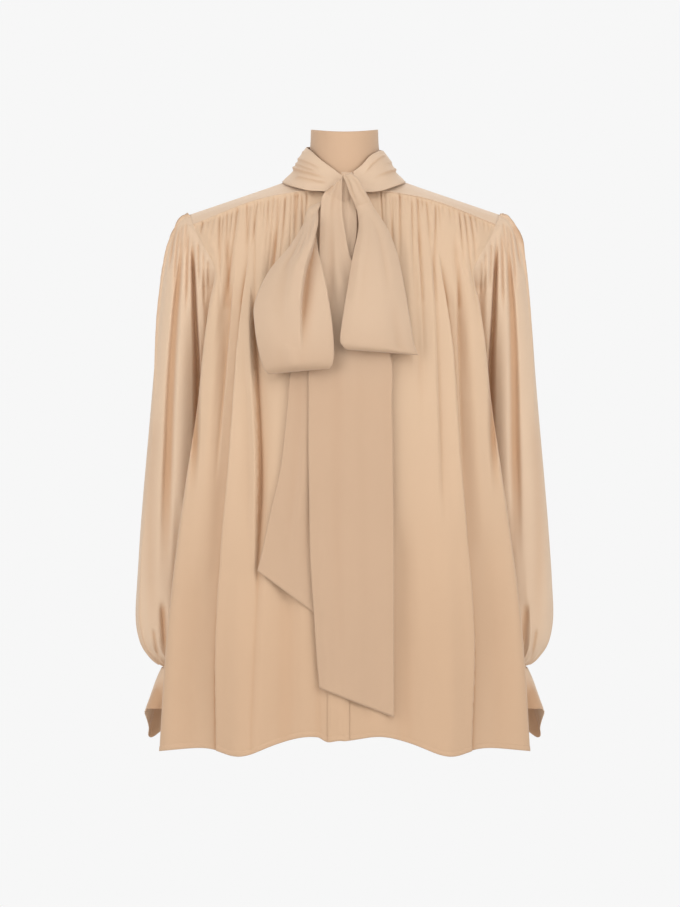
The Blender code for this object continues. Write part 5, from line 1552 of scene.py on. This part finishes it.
def cloth_tone():
    """The colour of the silk, with shade painted darker and warmer into the folds and lower down,
    and slightly uneven all over.
    """
    found = bpy.data.node_groups.get("cloth_tone")
    if found:
        return found
    group = group_with("cloth_tone", (
        ("Cloth", "NodeSocketColor", (0.7, 0.5, 0.3, 1.0)),
        ("Fold", "NodeSocketColor", (0.5, 0.3, 0.2, 1.0)),
        ("Fold depth", "NodeSocketFloat", 0.0034),
        ("Lower", "NodeSocketColor", (1.0, 1.0, 1.0, 1.0)),
        ("Lower from", "NodeSocketFloat", LOWER_SHADE_HEIGHTS["body"][0]),
        ("Lower to", "NodeSocketFloat", LOWER_SHADE_HEIGHTS["body"][1]),
        ("Unevenness", "NodeSocketFloat", 0.06),
    ), (("Color", "NodeSocketColor"),))
    into = add_node(group, "NodeGroupInput", "colours")
    depth = add_node(group, "ShaderNodeAttribute", "fold depth", attribute_name="fold_depth")
    sunk = math_node(group, "sunk", "MULTIPLY", depth.outputs["Fac"], -1.0)
    share = math_node(group, "share of the depth", "DIVIDE", sunk, into.outputs["Fold depth"])
    # Painted shade: the deeper a point lies in a fold, the more it takes the darker, warmer fold
    # colour
    mask = add_node(group, "ShaderNodeMapRange", "fold shade mask", clamp=True)
    group.links.new(share, mask.inputs["Value"])
    fold_shaded = mix_node(group, "shade painted into the folds", "MIX", mask.outputs["Result"],
                      into.outputs["Cloth"], into.outputs["Fold"])
    place = add_node(group, "ShaderNodeTexCoord", "place")
    parts = add_node(group, "ShaderNodeSeparateXYZ", "height of the place")
    group.links.new(place.outputs["Object"], parts.inputs["Vector"])
    # Painted shade: the colour darkens between the lower heights, lower down on the cloth
    low = add_node(group, "ShaderNodeMapRange", "towards the hem", clamp=True,
                   interpolation_type="SMOOTHSTEP")
    group.links.new(into.outputs["Lower from"], low.inputs["From Min"])
    group.links.new(into.outputs["Lower to"], low.inputs["From Max"])
    group.links.new(parts.outputs["Z"], low.inputs["Value"])
    shaded_low = mix_node(group, "shade painted low down", "MULTIPLY", low.outputs["Result"],
                      fold_shaded, into.outputs["Lower"])
    noise = noise_node(group, "uneven dye", place.outputs["Object"], 3.0, 9.0)
    offset = math_node(group, "about nought", "SUBTRACT", noise.outputs["Fac"], 0.5)
    amount = math_node(group, "unevenness", "MULTIPLY", offset, into.outputs["Unevenness"])
    value = math_node(group, "brightness", "ADD", amount, 1.0)
    tone = add_node(group, "ShaderNodeHueSaturation", "uneven tone")
    group.links.new(shaded_low, tone.inputs["Color"])
    group.links.new(value, tone.inputs["Value"])
    out = add_node(group, "NodeGroupOutput", "colour")
    group.links.new(tone.outputs["Color"], out.inputs["Color"])
    return group


def new_material(name):
    """A material with its node tree and its Principled node."""
    material = bpy.data.materials.new(name)
    material.use_nodes = True
    return material, material.node_tree, material.node_tree.nodes["Principled BSDF"]


def cloth_finish(name):
    """The silk crepe of one of the record's slots."""
    found = bpy.data.materials.get("silk_crepe_" + name)
    if found:
        return found
    settings = bpy.context.scene.blouse_cloth
    material, tree, shader = new_material("silk_crepe_" + name)
    colour = getattr(settings, name + "_colour")
    tone = add_node(tree, "ShaderNodeGroup", "cloth tone", node_tree=cloth_tone())
    tone.inputs["Cloth"].default_value = (*colour, 1.0)
    fold_shaded = [part * kept for part, kept in zip(colour, settings.fold_shade_tint)]
    tone.inputs["Fold"].default_value = (*fold_shaded, 1.0)
    if name in LOWER_SHADE_HEIGHTS:
        tone.inputs["Lower"].default_value = (*settings.lower_shade_tint, 1.0)
        for socket, value in zip(("Lower from", "Lower to"), LOWER_SHADE_HEIGHTS[name]):
            tone.inputs[socket].default_value = value
    tree.links.new(tone.outputs["Color"], shader.inputs["Base Color"])
    crepe = add_node(tree, "ShaderNodeGroup", "crepe surface", node_tree=crepe_surface())
    bump = add_node(tree, "ShaderNodeBump", "crepe bump")
    bump.inputs["Strength"].default_value = 0.35
    bump.inputs["Distance"].default_value = 0.00012
    tree.links.new(crepe.outputs["Height"], bump.inputs["Height"])
    tree.links.new(bump.outputs["Normal"], shader.inputs["Normal"])
    shader.inputs["Roughness"].default_value = settings.roughness
    shader.inputs["Specular IOR Level"].default_value = 0.25
    shader.inputs["Sheen Weight"].default_value = settings.sheen
    shader.inputs["Sheen Roughness"].default_value = 0.45
    shader.inputs["Sheen Tint"].default_value = (1.0, 0.92, 0.82, 1.0)
    material.diffuse_color = (*colour, 1.0)
    return material


def thread_finish():
    """The sewing thread, a little darker and glossier than the cloth."""
    found = bpy.data.materials.get("sewing_thread")
    if found:
        return found
    material, tree, shader = new_material("sewing_thread")
    place = add_node(tree, "ShaderNodeTexCoord", "place")
    twist = add_node(tree, "ShaderNodeTexNoise", "twist")
    twist.inputs["Scale"].default_value = 4000.0
    tree.links.new(place.outputs["Object"], twist.inputs["Vector"])
    ramp = add_node(tree, "ShaderNodeValToRGB", "thread colours")
    colour = bpy.context.scene.blouse_cloth.thread_colour
    ramp.color_ramp.elements[0].color = (*(THREAD_DARK_SHARE * part for part in colour), 1.0)
    ramp.color_ramp.elements[1].color = (*colour, 1.0)
    tree.links.new(twist.outputs["Fac"], ramp.inputs["Fac"])
    tree.links.new(ramp.outputs["Color"], shader.inputs["Base Color"])
    shader.inputs["Roughness"].default_value = 0.5
    return material


def stage_finish():
    """A matt pale floor that looks evenly bright, so that no line shows behind the blouse."""
    material, tree, shader = new_material("pale_floor")
    settings = bpy.context.scene.blouse_stage
    shader.inputs["Base Color"].default_value = (*settings.floor_colour, 1.0)
    shader.inputs["Roughness"].default_value = 1.0
    shader.inputs["Specular IOR Level"].default_value = 0.0
    even_glow = add_node(tree, "ShaderNodeEmission", "even brightness")
    even_glow.inputs["Strength"].default_value = settings.backdrop_light
    seen = add_node(tree, "ShaderNodeLightPath", "seen by the camera")
    mix = add_node(tree, "ShaderNodeMixShader", "floor")
    tree.links.new(seen.outputs["Is Camera Ray"], mix.inputs["Fac"])
    tree.links.new(shader.outputs["BSDF"], mix.inputs[1])
    tree.links.new(even_glow.outputs["Emission"], mix.inputs[2])
    tree.links.new(mix.outputs["Shader"], tree.nodes["Material Output"].inputs["Surface"])
    return material


def colour_setting(name, words, default):
    """A colour that a user may change."""
    return FloatVectorProperty(name=name, description=words, default=default, subtype="COLOR",
                               size=3, min=0.0, max=1.0)


def share_setting(name, words, default):
    """A share from 0 to 1 that a user may change."""
    return FloatProperty(name=name, description=words, default=default, subtype="FACTOR",
                         min=0.0, max=1.0)


def strength_setting(name, words, default, unit="NONE"):
    """A strength of light that a user may change."""
    return FloatProperty(name=name, description=words, default=default, min=0.0, unit=unit)


def length_setting(name, words, default):
    """A length or height in metres that a user may change."""
    return FloatProperty(name=name, description=words, default=default, unit="LENGTH")


class BlouseCloth(bpy.types.PropertyGroup):
    """Colours, painted shade and finish of the cloth."""

    body_colour: colour_setting(
        "Body", "Colour of the fronts and the back", (0.625, 0.438, 0.292))
    # Painted light: the sleeves are painted lighter than the body, for the light that falls on them
    sleeve_colour: colour_setting(
        "Sleeves", "Colour of the sleeves and cuffs", (0.690, 0.500, 0.348))
    neck_colour: colour_setting(
        "Neck", "Colour of the yoke, collar and scarf", (0.645, 0.468, 0.328))
    bow_colour: colour_setting(
        "Bow", "Colour of the knot, loops and tails", (0.580, 0.412, 0.284))
    # Painted shade: the deepest folds are painted darker and warmer by this share of the colour
    fold_shade_tint: colour_setting(
        "Fold shade tint", "What the deepest folds keep of the colour", (0.80, 0.67, 0.565))
    # Painted shade: the body is painted darker towards the hem by this share of its colour
    lower_shade_tint: colour_setting(
        "Lower shade tint", "What the body keeps of its colour at the hem", (0.91, 0.86, 0.82))
    thread_colour: colour_setting(
        "Thread", "Colour of the sewing thread", (0.56, 0.38, 0.24))
    roughness: share_setting("Roughness", "How matt the cloth is", 0.62)
    sheen: share_setting("Sheen", "Soft shine at grazing angles", 0.35)


class BlouseStage(bpy.types.PropertyGroup):
    """Floor, lights and camera."""

    floor_colour: colour_setting("Floor", "Colour of the floor", (0.78, 0.78, 0.775))
    floor_height: length_setting("Floor height", "Height of the floor", -1.05)
    camera_distance: length_setting("Camera distance", "From the neck to the camera", 4.0)
    camera_height: length_setting("Camera height", "Height of the camera", -0.3647)
    lens: FloatProperty(name="Lens", description="Focal length in millimetres", default=119.07,
                        min=10.0)
    top_light: strength_setting("Top light", "Power of the high front light", 50.0, "POWER")
    side_light: strength_setting("Side light", "Power of each side light", 52.0, "POWER")
    back_light: strength_setting("Back light", "Power of the high light behind", 40.0, "POWER")
    world_light: strength_setting("World light", "Strength of the light from all round", 0.52)
    backdrop_light: strength_setting("Backdrop", "How bright the backdrop looks", 0.93)


def panel_with_seam(make_rows, columns):
    """A panel's rows and depths: close at the gathers, with half the columns below them."""
    top_drops, lower_drops = fine_drops()
    top, top_depths = make_rows(top_drops, even(columns))
    lower, lower_depths = make_rows(lower_drops, even(columns // 2))
    rows = [*under_seam(top), *lower[1:]]
    return rows, [top_depths[0], *top_depths, *lower_depths[1:]]


def hem_path(rows):
    """The line of a hem's stitches along the last rows of a panel, and the ways out there."""
    grid = np.array(rows[-HEM_PATH_ROWS:])
    row = int(np.argmin(np.abs(rows_from_end(grid) - HEM_DEPTH)))
    return grid[row], outward(grid)[row]


class BLOUSE_OT_fronts(bpy.types.Operator):
    """Makes the two fronts and the strip down their opening"""

    bl_idname = "blouse.fronts"
    bl_label = "Fronts"

    def execute(self, context):
        for name, side in (("front_right", -1), ("front_left", 1)):
            rows, depths = panel_with_seam(partial(front_rows, side), FRONT_COLUMNS)
            piece = add_cloth("fine_" + name, name, rows, depths, "body",
                              THREAD_WIDTHS["front"], turned=side < 0)
            stitches = add_stitches("hem_stitches_" + name, *hem_path(rows), "body")
        lower_count = len(fine_drops()[1]) - 1
        self.strip(rows[-lower_count:])
        return {"FINISHED"}

    def strip(self, lower):
        """The strip of the right front that lies over the left front's edge."""
        top = front_rows(1, fine_drops()[0], even(FRONT_COLUMNS // 2))[0]
        x = np.linspace(PLACKET_LEFT - PLACKET_LAP, PLACKET_RIGHT, PLACKET_COLUMNS)
        rows = []
        for row in list(top[PLACKET_SKIPPED_ROWS:]) + lower:
            y = np.interp(x, row[:, 0], row[:, 1]) - LAID_ON
            z = np.interp(x, row[:, 0], row[:, 2])
            rows.append(np.stack((x, y, z), axis=1))
        piece = add_cloth("fine_placket", "placket", rows, None, "body", THREAD_WIDTHS["placket"])
        grid = np.array(rows)
        stitches = add_stitches("placket_stitches", grid[:, PLACKET_STITCH_COLUMN],
                                outward(grid)[:, PLACKET_STITCH_COLUMN], "body")


class BLOUSE_OT_back(bpy.types.Operator):
    """Makes the back"""

    bl_idname = "blouse.back"
    bl_label = "Back"

    def execute(self, context):
        rows, depths = panel_with_seam(back_rows, BACK_COLUMNS)
        piece = add_cloth("fine_back", "back", rows, depths, "body", THREAD_WIDTHS["back"])
        stitches = add_stitches("hem_stitches_back", *hem_path(rows), "body")
        return {"FINISHED"}


class BLOUSE_OT_yoke(bpy.types.Operator):
    """Makes the yoke over the shoulders and across the back"""

    bl_idname = "blouse.yoke"
    bl_label = "Yoke"

    def execute(self, context):
        places = run_places(YOKE_RIB_RUNS)
        half = [spaced(yoke_rib_path(place), even(YOKE_COLUMNS)) for place in places]
        grid = np.array(half + [rib * MIRROR for rib in half[-2::-1]])
        grid = grid - outward(grid) * CLOTH_WALL
        piece = add_cloth("fine_yoke", "yoke", grid, None, "neck", THREAD_WIDTHS["yoke"],
                          turned=True)
        return {"FINISHED"}


class BLOUSE_OT_sleeves(bpy.types.Operator):
    """Makes the sleeves and their cuffs"""

    bl_idname = "blouse.sleeves"
    bl_label = "Sleeves"

    def execute(self, context):
        cuff = even_ring(CUFF_COLUMNS)
        for name, side in (("right", -1), ("left", 1)):
            grid, depths = sleeve_rows(side, run_places(SLEEVE_ROW_RUNS), even_ring(SLEEVE_COLUMNS))
            rows = under_seam(grid[:, ::side], ring=True)[:, ::side]
            piece = self.ring("sleeve_" + name, side, rows, [depths[0], *depths], "sleeve")
            piece = self.ring("cuff_band_" + name, side, band_rows(side, cuff), None, "band")
            rows, depths = flare_rows(side, even(FLARE_ROWS - 1), cuff)
            piece = self.ring("cuff_flare_" + name, side, rows, depths, "flare")
        return {"FINISHED"}

    def ring(self, node, side, rows, depths, width):
        """A piece of cloth that goes round the arm."""
        return add_cloth("fine_" + node, node, rows, depths, "sleeve", THREAD_WIDTHS[width],
                         ring=True, turned=side > 0)


class BLOUSE_OT_neck(bpy.types.Operator):
    """Makes the stand collar and the scarf round it"""

    bl_idname = "blouse.neck"
    bl_label = "Collar and scarf"

    def execute(self, context):
        places = np.linspace(0, len(COLLAR) - 1, COLLAR_ROWS)
        rows = collar_rows(places, even_ring(COLLAR_COLUMNS))
        depths = np.full((COLLAR_ROWS, COLLAR_COLUMNS), COLLAR_SHADE)
        piece = add_cloth("fine_collar", "collar_stand", rows, depths, "neck",
                          THREAD_WIDTHS["collar"], ring=True)
        shares = np.linspace(1, 0, WRAP_ROWS)
        for name, side, table, creases in (
                ("right", -1, RIGHT_WRAP, RIGHT_WRAP_CREASES),
                ("left", 1, LEFT_WRAP, LEFT_WRAP_CREASES)):
            rows, depths = wrap_rows(side, table, creases, even(WRAP_COLUMNS), shares)
            piece = add_cloth("fine_scarf_" + name, "scarf_wrap_" + name, rows, depths, "neck",
                              THREAD_WIDTHS["scarf"], turned=side > 0)
        return {"FINISHED"}


class BLOUSE_OT_bow(bpy.types.Operator):
    """Makes the knot, the loops and the tails"""

    bl_idname = "blouse.bow"
    bl_label = "Bow"

    def execute(self, context):
        for name, table, folds, steps, flat in (
                ("knot", KNOT, KNOT_FOLDS, (), (0.024, 0.062)),
                ("loop_left", LEFT_LOOP, LEFT_LOOP_FOLDS, (), (0.095, 0.38)),
                ("loop_right", RIGHT_LOOP, RIGHT_LOOP_FOLDS, RIGHT_LOOP_STEPS, (0.105, 0.43))):
            is_knot = name == "knot"
            places = np.linspace(0, len(table) - 1, KNOT_ROWS if is_knot else LOOP_ROWS)
            columns = even(KNOT_COLUMNS if is_knot else LOOP_COLUMNS)
            rows, depths = ribbon_rows(table, folds, steps, places, columns)
            if is_knot:
                rows[:, :, 1] += KNOT_END_SINK * eased(*KNOT_END_ROWS, places)[:, None]
            piece = add_cloth("fine_" + name, name, rows, depths, "bow", flat[0])
        lapped = [row._replace(left_x=row.left_x - lap)
                  for row, lap in zip(SHORT_TAIL, SHORT_TAIL_LAP)]
        for name, table, folds, wave, flat in (
                ("tail_long", LONG_TAIL, LONG_TAIL_FOLDS, LONG_TAIL_WAVE, (0.11, 0.70)),
                ("tail_short", lapped, SHORT_TAIL_FOLDS, SHORT_TAIL_WAVE, (0.11, 0.56))):
            places = np.linspace(0, len(table) - 1, TAIL_ROWS)
            rows, depths = tail_rows(table, folds, places, even(TAIL_COLUMNS), wave)
            piece = add_cloth("fine_" + name, name, rows, depths, "bow", flat[0])
        return {"FINISHED"}


class BLOUSE_OT_stage(bpy.types.Operator):
    """Makes the floor, the lights and the camera"""

    bl_idname = "blouse.stage"
    bl_label = "Stage"

    def execute(self, context):
        settings = context.scene.blouse_stage
        bpy.ops.mesh.primitive_plane_add(size=FLOOR_SIZE, location=(0, 0, 0))
        floor = context.active_object
        floor.name = "pale_floor"
        for vertex in floor.data.vertices:
            vertex.co.z = settings.floor_height
        floor.data.materials.append(stage_finish())
        for name, place, size, power in LIGHTS:
            bpy.ops.object.light_add(type="AREA", location=place)
            light = context.active_object
            light.name = name
            light.data.shape = "SQUARE"
            light.data.size = size
            light.data.energy = getattr(settings, power)
            light.visible_camera = False
            aim = Vector(LIGHT_TARGET) - Vector(place)
            light.rotation_euler = aim.to_track_quat("-Z", "Y").to_euler()
        world = bpy.data.worlds.new("soft_light")
        world.use_nodes = True
        tree = world.node_tree
        sky = tree.nodes["Background"]
        sky.inputs["Color"].default_value = (1.0, 1.0, 1.0, 1.0)
        seen = add_node(tree, "ShaderNodeLightPath", "seen by the camera")
        extra = settings.backdrop_light - settings.world_light
        extra = math_node(tree, "backdrop", "MULTIPLY", seen.outputs["Is Camera Ray"], extra)
        strength = math_node(tree, "light", "ADD", extra, settings.world_light)
        tree.links.new(strength, sky.inputs["Strength"])
        context.scene.view_settings.view_transform = "Standard"
        context.scene.world = world
        bpy.ops.object.camera_add(
            location=(CAMERA_X, -settings.camera_distance, settings.camera_height),
            rotation=(np.pi / 2, 0.0, 0.0))
        camera = context.active_object
        camera.name = "photo_camera"
        camera.data.lens = settings.lens
        camera.data.sensor_width = SENSOR_WIDTH
        context.scene.camera = camera
        return {"FINISHED"}


class BLOUSE_PT_pieces(bpy.types.Panel):
    """Lists the blouse's pieces and settings"""

    bl_idname = "BLOUSE_PT_pieces"
    bl_label = "Tie neck blouse"
    bl_space_type = "VIEW_3D"
    bl_region_type = "UI"
    bl_category = "Blouse"

    def draw(self, context):
        column = self.layout.column()
        for operator in OPERATORS:
            column.operator(operator.bl_idname)
        for settings in (context.scene.blouse_cloth, context.scene.blouse_stage):
            for name in settings.bl_rna.properties.keys():
                if name not in ("rna_type", "name"):
                    column.prop(settings, name)


OPERATORS = (
    BLOUSE_OT_fronts,
    BLOUSE_OT_back,
    BLOUSE_OT_yoke,
    BLOUSE_OT_sleeves,
    BLOUSE_OT_neck,
    BLOUSE_OT_bow,
    BLOUSE_OT_stage,
)
CLASSES = (BlouseCloth, BlouseStage) + OPERATORS + (BLOUSE_PT_pieces,)


def register():
    """Makes the settings, operators and panel known to Blender."""
    for kind in CLASSES:
        bpy.utils.register_class(kind)
    bpy.types.Scene.blouse_cloth = PointerProperty(type=BlouseCloth)
    bpy.types.Scene.blouse_stage = PointerProperty(type=BlouseStage)


def unregister():
    """Takes them away again."""
    del bpy.types.Scene.blouse_stage
    del bpy.types.Scene.blouse_cloth
    for kind in reversed(CLASSES):
        bpy.utils.unregister_class(kind)


def main():
    """Makes every piece in order."""
    register()
    bpy.ops.object.select_all(action="DESELECT")
    bpy.ops.blouse.fronts()
    bpy.ops.blouse.back()
    bpy.ops.blouse.yoke()
    bpy.ops.blouse.sleeves()
    bpy.ops.blouse.neck()
    bpy.ops.blouse.bow()
    bpy.ops.blouse.stage()


if __name__ == "__main__":
    main()
